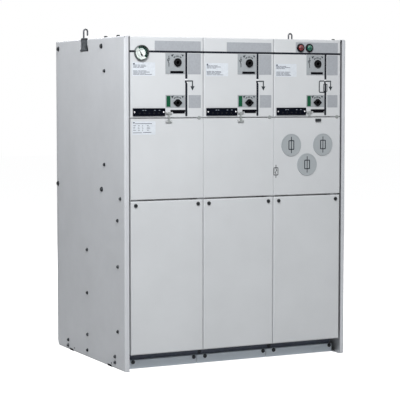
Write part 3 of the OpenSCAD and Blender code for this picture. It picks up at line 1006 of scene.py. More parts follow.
@dataclass
class SheetWork:
    """The frame, tank and folded covers, which keep the frame's own shapes."""

    def build(self) -> None:
        """Dresses the nodes of the cabinet's structure and skin."""
        dress(Finishes.TANK, "gas_tank")
        dress(Finishes.ZINC, "base_frame", "front_uprights", "tank_carriers", "floor_plate")
        dress(Finishes.PLINTH, "plinth_fronts")
        dress(Finishes.COVERS, *numbered("upper_cover"), *numbered("mid_cover"), *numbered("cable_cover"))
        dress(Finishes.SIDES, "left_side_cover", "right_side_cover", "roof_cover", "rear_cover")
        dress(Finishes.PLATES, *numbered("switch_plate"), *numbered("earthing_plate"))
        dress(Finishes.DARK, "lock_sliders", "gauge_needle")
        dress(Finishes.DARK_BOLT, "cover_locks")
        dress(Finishes.FLAG, "position_flags")
        dress(Finishes.COLLAR, *numbered("switch_shaft"), *numbered("earthing_shaft"))
        dress(Finishes.PANEL, "voltage_panels")
        dress(Finishes.LATCH, "interlock_latches")
        dress(Finishes.DIAL, "gauge_dial")
        dress(Finishes.DISCS, "fuse_discs")


# ---------------------------------------------------------------- the front's prints and films


def ink_line(points: Sequence[Place] | np.ndarray, width: float, closed: bool = False) -> Surface:
    """Prints a line.

    Args:
        points: The line's points, across and drop.
        width: The line's width.
        closed: Whether it returns to its start.

    Returns:
        The line.
    """
    return ribbon(np.array(points, float) * DOWN, width, -SINK, INK, closed)


def ink_shape(outline: Sequence[Place] | np.ndarray) -> Surface:
    """Returns a printed filled shape, whose outline is given as across and drop."""
    return plate(np.array(outline, float) * DOWN, -SINK, INK)


def wrapped_strip(left: float, right: float, fold: float, drop: float, width: float,
                  tail: float = 6) -> Surface:
    """Prints a level line right across a folded cover and round the folds at its sides.

    Seen from above the line comes forward along a side wall, follows a quarter of each fold's circle and
    the flat between them, and goes back. Its section is four corners, two on the sheet and two an ink's
    thickness before it.

    Args:
        left: Place of the cover's left side.
        right: Place of its right side.
        fold: Radius of its folds.
        drop: Drop of the line's middle.
        width: The line's width.
        tail: Length of the line on each side wall.

    Returns:
        The strip.
    """
    low, high = (chain((left - out, -fold - tail), arc(fold + out, 180, 90, 8, (left + fold, -fold)),
                       arc(fold + out, 90, 0, 8, (right - fold, -fold)), (right + out, -fold - tail))
                 for out in (-SINK, INK))
    corners = [(low, -width / 2), (low, width / 2), (high, width / 2), (high, -width / 2)]
    across_out_up = levelled([(line, up - drop) for line, up in corners], axis=1)
    return loft(across_out_up[..., [0, 2, 1]])


@dataclass
class MimicDiagram:
    """The diagram printed on the upper covers: busbar, feeders, their switches and earth arrows."""

    bus_drop: float = 59
    bus_width: float = 8
    fold: float = 4              # radius of the covers' folds
    feeder_x: float = 248
    feeder_width: float = 9.4
    feeder_end: float = 316
    end_swell: float = 0.4       # the feeder's round end stands this far out
    break_drop: float = 166      # the feeder stops here, above its contacts
    blade_head: tuple[Place, ...] = ((-6, 172.5), (1.5, 172.5), (1.5, 179), (4.7, 185))
    blade_heel: tuple[Place, ...] = ((-4.7, 184), (-6, 181))
    ring_drop: float = 169.3
    ring_size: tuple[float, float] = (5, 1.9)
    ring_width: float = 2.2
    contact: tuple[Place, ...] = ((3.6, 179.5), (5.6, 183.5))
    contact_width: float = 3.2
    branches: tuple[tuple[float, float], ...] = ((174.8, 27.5), (174.8, 27.5), (173.2, 25.5))
    branch_start: float = 1      # a branch starts this far right of the feeder's middle
    branch_width: float = 4.8
    arrow_drop: float = 195.5
    arrow_lap: float = 1.5       # and ends this far inside its arrowhead
    arrow_half: float = 9.5
    arrow_tip: float = 213
    link_lap: float = 4          # the link's ends stand this far left of the feeder's middle
    link_left: float = 218.4
    link_drops: tuple[float, float] = (172.2, 219.5)
    link_corner: float = 5
    link_width: float = 4.6
    fuse_size: tuple[float, float] = (17, 30)
    fuse_corner: float = 2.5
    fuse_drop: float = 200.5
    fuse_width: float = 3.4

    def build(self, bays: Sequence[Bay]) -> None:
        """Prints each module's diagram.

        Args:
            bays: The modules' fronts.
        """
        for bay, branch in zip(bays, self.branches):
            low, high = node_box(f"upper_cover_{bay.number}")
            bus = wrapped_strip(low.x - bay.left, high.x - bay.left, self.fold, self.bus_drop, self.bus_width)
            symbols = self.earth_arrow(*branch) + (self.fuse_link() if bay.number == FUSE_MODULE else [])
            for name, shapes, finish in (
                    ("busbar_line", [bus], Finishes.LINE),
                    ("feeder_line", self.feeder(), Finishes.LINE),
                    ("feeder_symbols", symbols, Finishes.SYMBOL),
                    ("contact_rings", self.contacts(), Finishes.PALE)):
                add_piece(f"{name}_{bay.number}", bay.lay(*shapes), finish)

    def feeder(self) -> list[Surface]:
        """Draws the feeder's two lengths, of which the lower starts with the switch's slanted blade.

        Returns:
            The upper and the lower length.
        """
        x, half = self.feeder_x, self.feeder_width / 2
        turn = self.feeder_end - half
        lower = chain(self.blade_head, (half, turn), arc(half + self.end_swell, 0, 180, 14, (0, turn)),
                      (-half, turn), self.blade_heel)
        upper = [(x, self.bus_drop + self.bus_width / 2), (x, self.break_drop)]
        return [ink_line(upper, self.feeder_width), ink_shape(lower + (x, 0))]

    def contacts(self) -> list[Surface]:
        """Draws the switch's contacts.

        Returns:
            The pale ring in the feeder's gap and the pale mark beside the blade.
        """
        ring = arc(1, 0, 345, 23) * self.ring_size + (self.feeder_x, self.ring_drop)
        mark = np.array(self.contact) + (self.feeder_x, 0)
        return [ink_line(ring, self.ring_width, closed=True), ink_line(mark, self.contact_width)]

    def earth_arrow(self, top: float, reach: float) -> list[Surface]:
        """Draws the branch to the right and its arrow down to earth.

        Args:
            top: Drop of the branch.
            reach: How far the arrow stands from the feeder.

        Returns:
            The branch and the arrow's head.
        """
        start, turn = self.feeder_x + self.branch_start, self.feeder_x + reach
        half, drop = self.arrow_half, self.arrow_drop
        return [ink_line([(start, top), (turn, top), (turn, drop + self.arrow_lap)], self.branch_width),
                ink_shape([(turn - half, drop), (turn + half, drop), (turn, self.arrow_tip)])]

    def fuse_link(self) -> list[Surface]:
        """Draws the fuse module's link round the feeder, and the fuse's outline on it.

        Returns:
            The link and the fuse.
        """
        start, corner = self.feeder_x - self.link_lap, self.link_corner
        left = self.link_left + corner
        top, foot = self.link_drops
        link = chain((start, top), arc(corner, -90, -180, 5, (left, top + corner)),
                     arc(corner, -180, -270, 5, (left, foot - corner)), (start, foot))
        case = round_rect(*self.fuse_size, self.fuse_corner) * DOWN + (self.feeder_x, self.fuse_drop)
        return [ink_line(link, self.link_width), ink_line(case, self.fuse_width, closed=True)]


@dataclass
class FieldFilms:
    """The grey name strips and patches, and the white labels with rows of plain bars."""

    strips: tuple[Rectangle, ...] = ((109, 16, 204, 39), (105.5, 17, 207.5, 38), (103.5, 12, 204.9, 43))
    strip_hole: float = 16.8     # the fuse module's strip ends just under the bezels' outer edge
    patch_left: float = 255
    patch_step: float = 3
    patch_drops: tuple[tuple[float, float], ...] = ((65, 83), (231, 52))
    patch_rights: tuple[float, float, float] = (313, 313, 308)
    labels: tuple[Rectangle, ...] = ((12, 102, 99, 53), (11, 102, 101, 53), (8, 102, 100, 53))
    table_label: Rectangle = (11, 335, 101, 53)
    strip_corner: float = 1.5
    label_corner: float = 2
    edge: float = 0.05           # how far a film's edge is broken
    margin: float = 3
    inset: float = 8             # a full line is this much shorter than its label
    bar: float = 1.9
    bar_corner: float = 0.3
    square: Rectangle = (3, 3, 7, 6)
    square_corner: float = 0.6
    word_gap: float = 2.2
    word_shares: tuple[float, ...] = (0.34, 0.22, 0.44)
    lines: tuple[tuple[float, float], ...] = (   # each line's drop and its share of the width
        (10, 0.52), (14.5, 0.6), (19, 0.44), (33, 0.62), (37.5, 0.7), (42, 0.58), (46.5, 0.8))
    table_square: Rectangle = (3, 3, 7, 5)
    table_title: Rectangle = (12, 8, 73, 2.2)
    table_notes: tuple[Rectangle, ...] = ((3, 44, 38.38, 2), (46, 43, 36.36, 2))
    columns: tuple[tuple[float, float], ...] = ((3, 13), (24, 9), (42, 6), (63, 14))
    row_drops: tuple[float, ...] = (16, 22.2, 28.4, 34.6)
    cell: float = 1.7

    def build(self, bays: Sequence[Bay]) -> None:
        """Applies each module's films.

        Args:
            bays: The modules' fronts.
        """
        for bay, strip, right, label in zip(bays, self.strips, self.patch_rights, self.labels):
            pierced_here = bay.number == FUSE_MODULE
            films = [self.button_strip(strip) if pierced_here else self.film(strip, self.strip_corner)]
            for k, (drop, height) in enumerate(self.patch_drops):
                left = self.patch_left + self.patch_step * k
                films.append(self.film((left, drop, right - left, height), self.strip_corner))
            add_piece(f"field_strips_{bay.number}", bay.lay(*films), Finishes.STRIPS)
            add_piece(f"label_{bay.number}", bay.lay(self.film(label, self.label_corner)), Finishes.LABEL)
            add_piece(f"label_bars_{bay.number}", bay.lay(*self.paragraphs(label, bay.number)), Finishes.TYPE)
        add_piece("table_label", bays[0].lay(self.film(self.table_label, self.label_corner)), Finishes.LABEL)
        add_piece("table_label_bars", bays[0].lay(*self.table()), Finishes.TYPE)

    def film(self, place: Rectangle, corner: float) -> Surface:
        """Returns a rectangular film with rounded corners."""
        return box(*place, -SINK, FILM, corner, self.edge)

    def button_strip(self, strip: Rectangle) -> Surface:
        """Draws the fuse module's name strip, with a round hole for each push button's bezel.

        Args:
            strip: The strip's place.

        Returns:
            The pierced strip.
        """
        left, drop, width, height = strip
        outline = round_rect(width, height, self.strip_corner) + (left + width / 2, -drop - height / 2)
        holes = [arc(self.strip_hole, 360, 0, 48, (x, -BUTTON_DROP))[:-1] for _, x in BUTTONS]
        return pierced(outline, holes, -SINK, FILM)

    def print_bar(self, label: Rectangle, bar: Rectangle, corner: float = 0) -> Surface:
        """Prints a plain bar on a label, in place of words.

        Args:
            label: The label's place.
            bar: The bar's place, measured from the label's upper left corner.
            corner: Radius at the bar's corners, if it isn't the usual one.

        Returns:
            The bar.
        """
        (left, drop, *_), (across, down, *size) = label, bar
        return box(left + across, drop + down, *size, FILM - SINK, FILM + INK / 2, corner or self.bar_corner)

    def paragraphs(self, label: Rectangle, number: int) -> list[Surface]:
        """Draws two paragraphs of plain bars and a small square above them.

        Args:
            label: The label's place.
            number: The module, which varies the bars' lengths.

        Returns:
            The bars.
        """
        width = label[2] - self.inset
        bars = [self.print_bar(label, self.square, self.square_corner)]
        for k, (drop, share) in enumerate(self.lines):
            start = self.margin
            for part in self.word_shares:
                length = width * share * part * (1 + 0.12 * np.sin(3.1 * k + 5 * part + number))
                bars.append(self.print_bar(label, (start, drop, length, self.bar)))
                start += length + self.word_gap
        return bars

    def table(self) -> list[Surface]:
        """Draws a small square, a title bar, a table of plain bars and two bars under it.

        Returns:
            The bars.
        """
        bars = [self.table_title]
        for row, drop in enumerate(self.row_drops):
            for column, (start, length) in enumerate(self.columns):
                bars.append((start, drop, length * (0.8 + 0.2 * np.cos(2 * row + column)), self.cell))
        label = self.table_label
        return [self.print_bar(label, self.table_square, self.square_corner)] \
            + [self.print_bar(label, bar) for bar in (*bars, *self.table_notes)]


@dataclass
class ControlPlate:
    """The marks printed on the control plates, and the collars' inner rims."""

    shaft_x: float = 208.5
    shafts: tuple[tuple[str, float, float, float, float], ...] = (   # drop, and the sizes of turn_marks
        ("switch", 101, 36, 36, 25), ("earthing", 262, 33, 40, 23))
    symbol_x: float = 170.5
    strokes: tuple[tuple[Place, Place, float], ...] = (   # two ends, across from symbol_x and drop, and width
        ((0, 75), (0, 87), 3), ((-5, 87.5), (5, 87.5), 2.4), ((-7, 89), (0, 104), 3), ((0, 103), (0, 118), 3))
    pivot: tuple[float, float, float] = (2.2, 92.5, 1.6)   # the ring's radius, drop and width
    mark_width: float = 3.8
    heads: tuple[float, float] = (6.4, 5.2)      # half lengths of the left and the right arrowhead
    dashes: tuple[tuple[float, float], ...] = ((132, 112), (104, 76), (68, 48))
    socket_flats: float = 14
    socket_wall: float = 2.2
    collar_face: float = 6.0                     # the collars' faces stand this far before the covers

    def build(self, bays: Sequence[Bay]) -> None:
        """Prints each module's plates and adds the socket rims.

        Args:
            bays: The modules' fronts.
        """
        for bay in bays:
            marks = self.switch_symbol()
            for _, *sizes in self.shafts:
                marks += self.turn_marks(*sizes)
            add_piece(f"plate_marks_{bay.number}", bay.lay(*marks, lift=bay.proud), Finishes.SYMBOL)
            for name, drop, *_ in self.shafts:
                add_piece(f"{name}_socket_rim_{bay.number}", self.socket_rim(bay, drop), Finishes.SOCKET,
                          f"{name}_shaft_{bay.number}")

    def switch_symbol(self) -> list[Surface]:
        """Draws the switch symbol at the plate's left: an upright line with an open blade.

        Returns:
            The line's upper end, its crossbar, the blade, the line's lower end and the pivot's ring.
        """
        radius, drop, width = self.pivot
        strokes = [ink_line(np.array([start, stop]) + (self.symbol_x, 0), thick)
                   for start, stop, thick in self.strokes]
        return strokes + [ink_line(arc(radius, 0, 340, 17, (self.symbol_x, drop)), width, closed=True)]

    def turn_marks(self, drop: float, radius: float, spread: float, inner: float) -> list[Surface]:
        """Draws the marks above a collar: an arrowhead at each side and a broken arc between them.

        Args:
            drop: Drop of the collar's middle.
            radius: Distance of the arrowheads from it.
            spread: Their angle from upright.
            inner: Radius of the broken arc.

        Returns:
            The marks.
        """
        marks = []
        for turn, size in zip((spread, -spread), self.heads):
            head = np.array([(-1, -0.8), (1, 0), (-1, 0.8)]) * size
            across, up = arc(radius, 90 + turn, 90 + turn, 1)[0]
            flat = plate(head, -SINK, INK).turned(turn if turn > 0 else 180 + turn)
            marks.append(flat.shifted(self.shaft_x + across, up - drop))
        for start, stop in self.dashes:
            path = arc(inner, start, stop, 8, (self.shaft_x, -drop))
            marks.append(ribbon(path, self.mark_width, -SINK, INK))
        return marks

    def socket_rim(self, bay: Bay, drop: float) -> Surface:
        """Shapes the pressed rim round a collar's six-sided socket.

        Args:
            bay: The module's front.
            drop: Drop of the collar's middle.

        Returns:
            The rim in the cabinet's frame.
        """
        inner = self.socket_flats / 2 * HEXAGON
        outer = inner + self.socket_wall
        profile = chain((inner, -1.5), (inner, 0.35), (inner + 0.4, 0.6), (outer - 0.5, 0.6), (outer, 0.1),
                        (outer, -BED))
        place = (bay.left + self.shaft_x, bay.front - self.collar_face, bay.top - drop)
        return lathe(profile, 6, hollow=True).on(Side.FRONT, place)


@dataclass
class VoltagePanel:
    """Voltage indicator strips: a raised border, test sockets in a row, status windows and screws."""

    left: float = 13
    drop: float = 283.5
    width: float = 139.5
    height: float = 30.5
    proud: float = 4
    border: float = 2.2
    inset: float = 1.2
    screw_x: tuple[float, float] = (19.5, 146.2)
    screw: tuple[float, float] = (3.3, 1.7)
    window_x: tuple[float, ...] = (53, 63, 104, 124)
    window_size: tuple[float, float] = (6.5, 2.4)
    window_drop: float = 7
    socket_x: tuple[float, ...] = (41, 62, 83, 104, 125)
    socket_drop: float = 20
    socket_ring: tuple[Place, ...] = (
        (1.9, -BED), (1.9, 0.7), (2.3, 1.0), (3.1, 1.0), (3.5, 0.7), (3.5, -BED))

    def build(self, bays: Sequence[Bay]) -> None:
        """Adds each module's panel details.

        Args:
            bays: The modules' fronts.
        """
        middle = -self.drop - self.height / 2
        outline = round_rect(self.width - 2 * self.inset, self.height - 2 * self.inset, 2)
        border = ribbon(outline, self.border, -BED, 0.8, closed=True).shifted(
            self.left + self.width / 2, middle)
        windows = [box(x, self.drop + self.window_drop, *self.window_size, -SINK, 0.4, 0.8, 0.1)
                   for x in self.window_x]
        ring = lathe(self.socket_ring, 24, hollow=True)
        sockets = [ring.shifted(x, -self.drop - self.socket_drop) for x in self.socket_x]
        screws = [screw_head(*self.screw).shifted(x, middle) for x in self.screw_x]
        for bay in bays:
            for name, shapes, finish in (
                    ("voltage_panel_border", [border], Finishes.PANEL),
                    ("voltage_windows", windows, Finishes.WINDOW),
                    ("voltage_sockets", sockets, Finishes.SOCKET),
                    ("voltage_panel_screws", screws, Finishes.BRIGHT)):
                add_piece(f"{name}_{bay.number}", bay.lay(*shapes, lift=self.proud), finish)


def screw_head(radius: float, height: float, recess: float = 0.45, sunk: float = 0.2) -> Surface:
    """Shapes a domed screw head with a round drive recess.

    The dome is a quarter ellipse in section; the recess has straight walls and a flat floor.

    Args:
        radius: Radius of the head.
        height: Height of its dome.
        recess: Radius of the recess as a share of the head's.
        sunk: How far the head starts inside what it stands on.

    Returns:
        The head.
    """
    hole, floor = radius * recess, height * 0.4
    dome = arc(1, 0, 90 - 90 * recess * 0.62, 7) * (radius, height)
    return lathe(chain((0, -sunk), (radius, -sunk), dome, (hole, dome[-1, 1] - 0.05), (hole * 0.92, floor),
                       (0, floor)), 24)


@dataclass(frozen=True)
class HexBolt:
    """A hexagon bolt on a plain washer."""

    flats: float
    height: float
    washer: float
    washer_t: float = 1.6
    sunk: float = 0.2            # how far the washer starts inside what it stands on
    lap: float = 0.3             # and the head inside the washer
    washer_edge: float = 0.4     # how far the washer's edge is broken
    crest: tuple[Place, ...] = (   # the head's top: share of its corner radius, and height from the top
        (1, -1.1), (0.86, -0.1), (0.8, 0), (0.42, 0), (0.36, -0.3), (0, -0.3))

    def head(self) -> Surface:
        """Shapes the washer with a broken edge, and the head with a chamfered, dished top.

        Returns:
            Both as one surface.
        """
        rim, edge, top = self.washer, self.washer_edge, self.washer_t
        base = lathe(chain((0, -self.sunk), (rim, -self.sunk), (rim, top - edge), (rim - edge, top),
                           (0, top)), 40)
        corner, low = self.flats / 2 * HEXAGON, top - self.lap
        crest = np.array(self.crest) * (corner, 1) + (0, top + self.height)
        return Surface.joined([base, lathe(chain((0, low), (corner, low), crest), 6)])


@dataclass
class Gauge:
    """The pressure gauge: a rolled rim, a card with coloured bands and ticks, needle and domed glass."""

    x: float = 50
    drop: float = 64.5
    radius: float = 31
    inner: float = 27
    reach: float = 12
    back: float = 18
    seat: float = 3
    card: float = 4
    lip: float = 3               # the rolled lip's height
    glass_rise: tuple[float, float] = (1.2, 0.8)   # of its face and of its underside
    green_band: tuple[float, float, float, float] = (17.8, 26.6, -46, 126)
    pale_band: tuple[float, float, float, float] = (23.5, 26.4, 132, 260)
    scale: tuple[float, float] = (-60, 240)
    scale_radius: float = 17.2
    tick_count: int = 22
    dashes: tuple[Rectangle, ...] = ((-8, -12, 13, 2), (-5, 13.5, 10, 0.9))
    pivot_drop: float = 8.5
    hub: float = 3.6

    def build(self, bay: Bay) -> None:
        """Adds the gauge's pieces.

        Args:
            bay: The front of the module that carries it.
        """
        place = (bay.left + self.x, bay.front, bay.top - self.drop)
        parts = (
            ("gauge_rim", self.case(), Finishes.RIM, "gauge_rim", ("gauge_body",)),
            ("gauge_crystal", self.crystal(), Finishes.GLASS, "clear_glass", ("gauge_glass",)),
            ("gauge_green_band", self.band(*self.green_band), Finishes.SCALE_GREEN, "", ()),
            ("gauge_pale_band", self.band(*self.pale_band), Finishes.SCALE_PALE, "", ()),
            ("gauge_ticks", self.ticks(), Finishes.TYPE, "", ()),
            ("gauge_pivot_cap", self.pivot(), Finishes.DARK, "", ()))
        for name, surface, finish, slot, nodes in parts:
            add_piece(name, surface.on(Side.FRONT, place), finish, stands_for=nodes)

    def case(self) -> Surface:
        """Shapes the case: a cup with a rolled lip, which is half an ellipse in section.

        Returns:
            The case, turned from one profile.
        """
        stem, wall, rolled = self.inner - 0.3, self.radius - 0.35, self.reach - self.lip
        lip = (arc(1, 0, 180, 12) * ((self.radius - self.inner) / 2 - 0.2, self.lip)
               + ((self.radius + self.inner) / 2, rolled))
        return lathe(chain((0, -self.back), (stem, -self.back), (stem, -BED), (self.radius, -BED),
                           (self.radius, 2), (wall, 3), (wall, rolled - 1), lip, (self.inner, rolled - 0.6),
                           (self.inner, self.seat), (0, self.seat)), 96)

    def crystal(self) -> Surface:
        """Shapes the glass: its face is a shallow dome, level - rise * (r / R) squared.

        Returns:
            The glass.
        """
        radius = self.inner - 0.3
        share = np.linspace(0, 1, 9)
        above, below = self.glass_rise
        face = np.column_stack([share * radius, self.reach - 1 - above * share ** 2])
        under = np.column_stack([share * radius, self.reach - 3 - below * share ** 2])
        return lathe(chain(face, under[::-1]), 72)

    def band(self, inner: float, outer: float, start: float, stop: float) -> Surface:
        """Draws a coloured sector of the scale.

        Args:
            inner: Its inner radius.
            outer: Its outer radius.
            start: Its first angle in degrees.
            stop: Its last angle.

        Returns:
            The sector.
        """
        path = arc((inner + outer) / 2, start, stop, 48)
        return ribbon(path, outer - inner, self.card - SINK, self.card + INK / 2)

    def ticks(self) -> Surface:
        """Draws the scale's ticks, every third one long, the thin ring that they stand on and two dashes.

        Returns:
            Them all as one surface.
        """
        low, high = self.card - SINK, self.card + INK / 2
        marks = [ribbon(arc(self.scale_radius, *self.scale, 60), 0.5, low, high)]
        for k, angle in enumerate(np.linspace(*self.scale, self.tick_count)):
            length = 4.4 if k % 3 == 0 else 2.4
            tick = plate(round_rect(length, 0.7, 0.05, 1), low, high)
            marks.append(tick.shifted(self.scale_radius - 0.2 - length / 2, 0).turned(angle))
        return Surface.joined(marks + [box(*dash, low, high, 0.2) for dash in self.dashes])

    def pivot(self) -> Surface:
        """Shapes the domed cap on the needle's pivot.

        Returns:
            The cap.
        """
        base = self.card + 2.2
        dome = arc(1, 0, 90, 6) * (self.hub, 0.8) + (0, base + 0.25)
        return lathe(chain((0, base), (self.hub, base), dome), 32).shifted(0, -self.pivot_drop)


@dataclass
class Buttons:
    """The push buttons: bezels with a rounded lip, and domed caps that move in them."""

    bezel: float = 17.5
    wall: float = 2
    reach: float = 7
    back: float = 14
    clear: float = 0.5           # the caps' clearance in the bezels
    cap: float = 11.5
    cap_reach: float = 12
    cap_back: float = 13.5
    rise: float = 4.2            # how far a cap's face falls from its middle to its edge
    lip: float = 0.8
    mark: float = 4.2
    mark_half: float = 0.8

    def build(self, bay: Bay) -> None:
        """Adds both buttons.

        Args:
            bay: The front of the module that carries them.
        """
        rings = [self.ring().shifted(x, -BUTTON_DROP) for _, x in BUTTONS]
        add_piece("button_rings", bay.lay(*rings), Finishes.GLOSS_BLACK,
                  stands_for=("button_bezels",))
        crown = self.crown(np.linspace(0, self.cap - self.lip, 12))
        edge = arc(self.lip, 90, 0, 5, (self.cap - self.lip, crown[-1, 1] - self.lip))
        cap = lathe(chain(crown, edge, (self.cap, -self.cap_back), (0, -self.cap_back)), 64)
        looks = {"red": (Finishes.RED, self.ring_mark()), "green": (Finishes.GREEN, self.bar_mark())}
        for name, x in BUTTONS:
            finish, mark = looks[name]
            body = f"{name}_button"
            add_piece(f"{name}_cap", bay.lay(cap.shifted(x, -BUTTON_DROP)), finish, body,
                      (body,))
            add_piece(f"{name}_cap_mark", bay.lay(mark.shifted(x, -BUTTON_DROP)), Finishes.SYMBOL, body)

    def ring(self) -> Surface:
        """Shapes a bezel: a sleeve in the cover with a rounded lip before it.

        Returns:
            The bezel, turned from one profile.
        """
        bore, sleeve, face = self.cap + self.clear, self.cap + self.wall - 0.3, self.reach
        return lathe(chain(
            (bore, -self.back), (bore, face - 2.2), (bore + 0.8, face - 0.7), (bore + 1.9, face),
            (self.bezel - 1.2, face - 0.5), (self.bezel, face - 2.4), (self.bezel, -BED), (sleeve, -BED),
            (sleeve, -self.back)), 72, hollow=True)

    def crown(self, radius: np.ndarray, above: float = 0) -> np.ndarray:
        """Sets points on the cap's domed face, whose height falls with the square of the radius.

        Args:
            radius: The points' distances from the cap's middle.
            above: Their distance before the face.

        Returns:
            Radius and height of each point.
        """
        height = self.cap_reach - INK - self.rise * (radius / self.cap) ** 2 + above
        return np.column_stack([radius, height])

    def ring_mark(self) -> Surface:
        """Returns the round mark on a cap: a thin ring that follows its dome."""
        radius = np.linspace(self.mark - self.mark_half, self.mark + self.mark_half, 4)
        return lathe(chain(self.crown(radius, INK)[::-1], self.crown(radius, -SINK)), 48, hollow=True)

    def bar_mark(self) -> Surface:
        """Shapes the upright bar on a cap, which follows its dome.

        Returns:
            The bar.
        """
        low, high = (self.crown(np.linspace(-self.mark, self.mark, 9), out) for out in (-SINK, INK))
        half = self.mark_half
        up_out_across = levelled([(low, -half), (low, half), (high, half), (high, -half)], axis=1)
        return loft(up_out_across[..., [2, 0, 1]])


@dataclass
class FuseChambers:
    """The fuse module's printed symbols, on its chambers' discs and beside them."""

    disc_t: float = 3
    disc_side: float = 46.5      # half the width of a disc
    case_size: tuple[float, float] = (23.5, 36)
    case_width: float = 3.8
    corner: float = 1.5
    bar_half: float = 34
    bar_width: float = 3.4
    bead: tuple[Place, ...] = ((3.4, -0.2), (3.4, 0.25), (3.0, 0.5), (0.9, 0.5), (0.5, 0.1), (0.5, -0.2))
    icon: tuple[float, float] = (11.5, 547)
    icon_size: tuple[float, float] = (19, 30)
    icon_width: float = 3
    striker: tuple[Place, ...] = ((0, -27), (0, -10), (3.8, -5), (-3.8, 4), (0, 10), (0, 27))
    striker_width: float = 2.8

    def build(self, bay: Bay) -> None:
        """Prints the discs and the small symbol.

        Args:
            bay: The fuse module's front.
        """
        low, high = node_box("fuse_discs")
        side = self.disc_side
        centres = ((low.x + side, high.z - side), (high.x - side, high.z - side),
                   ((low.x + high.x) / 2, low.z + side))
        bead = lathe(np.array(self.bead) * (-1, 1) + (side, 0), 72, hollow=True)
        case = ribbon(round_rect(*self.case_size, self.corner), self.case_width, -SINK, INK, closed=True)
        bar = ribbon(chain((0, self.bar_half), (0, -self.bar_half)), self.bar_width, -SINK, INK * 0.8)
        places = [(x - bay.left, z - bay.top) for x, z in centres]
        prints = [shape.shifted(*place) for place in places for shape in (case, bar)]
        add_piece("fuse_symbols", bay.lay(*prints, lift=self.disc_t), Finishes.LINE)
        add_piece("fuse_disc_beads", bay.lay(*(bead.shifted(*place) for place in places), lift=self.disc_t),
                  Finishes.DISCS)
        frame_line = round_rect(*self.icon_size, self.corner) * DOWN + self.icon
        symbol = [ink_line(frame_line, self.icon_width, closed=True),
                  ink_line(np.array(self.striker) + self.icon, self.striker_width)]
        add_piece("fuse_cover_symbol", bay.lay(*symbol), Finishes.LINE)


@dataclass
class CoverHardware:
    """Catches over the joint below the upper covers, and the interlock latches' rivets."""

    catch_place: tuple[float, float] = (304.5, -322)
    catch: tuple[Place, ...] = (
        (0, -BED), (7.5, -BED), (7.5, 1.4), (6.7, 2.2), (3.6, 2.6), (3.2, 1.6), (0, 1.6))
    latch_x: float = 169
    latch_drop: float = 303      # of the latches' upper rivets
    latch_length: float = 34
    latch_t: float = 6
    rivet_half: float = 9        # half the distance between two rivets
    rivet: tuple[float, float, float] = (2.6, 1.3, 0.3)

    def build(self, bays: Sequence[Bay]) -> None:
        """Adds each module's catch, and the rivets, of which the fuse module's short latch has one row.

        Args:
            bays: The modules' fronts.
        """
        catch, rivet = lathe(self.catch, 40), screw_head(*self.rivet)
        for bay in bays:
            add_piece(f"cover_catch_{bay.number}", bay.lay(catch.shifted(*self.catch_place)), Finishes.LATCH)
            rows = (0,) if bay.number == FUSE_MODULE else (0, self.latch_length)
            rivets = [rivet.shifted(self.latch_x + across, -self.latch_drop - row)
                      for row in rows for across in (-self.rivet_half, self.rivet_half)]
            add_piece(f"latch_rivets_{bay.number}", bay.lay(*rivets, lift=self.latch_t), Finishes.BOLT)


@dataclass(frozen=True)
class Flank:
    """The face of a side cover, with places measured back from its front edge and up from the floor."""

    side: Side
    node: str
    face: float
    front: float

    @classmethod
    def of(cls, side: Side) -> "Flank":
        """Finds a side cover's face from its node.

        Args:
            side: The left or the right side.

        Returns:
            Its flank.
        """
        node = f"{side.word}_side_cover"
        low, high = node_box(node)
        return cls(side, node, low.x if side is Side.LEFT else high.x, low.y)

    def lay(self, parts: Sequence[tuple[Surface, float, float]]) -> Surface:
        """Lays drawings on the side cover.

        Args:
            parts: Drawings, each with its depth behind the front edge and its height.

        Returns:
            Them all as one surface in the cabinet's frame.
        """
        moved = [part.shifted(self.side.hand * (self.front + depth), z) for part, depth, z in parts]
        return Surface.joined(moved).on(self.side, (self.face, 0, 0))


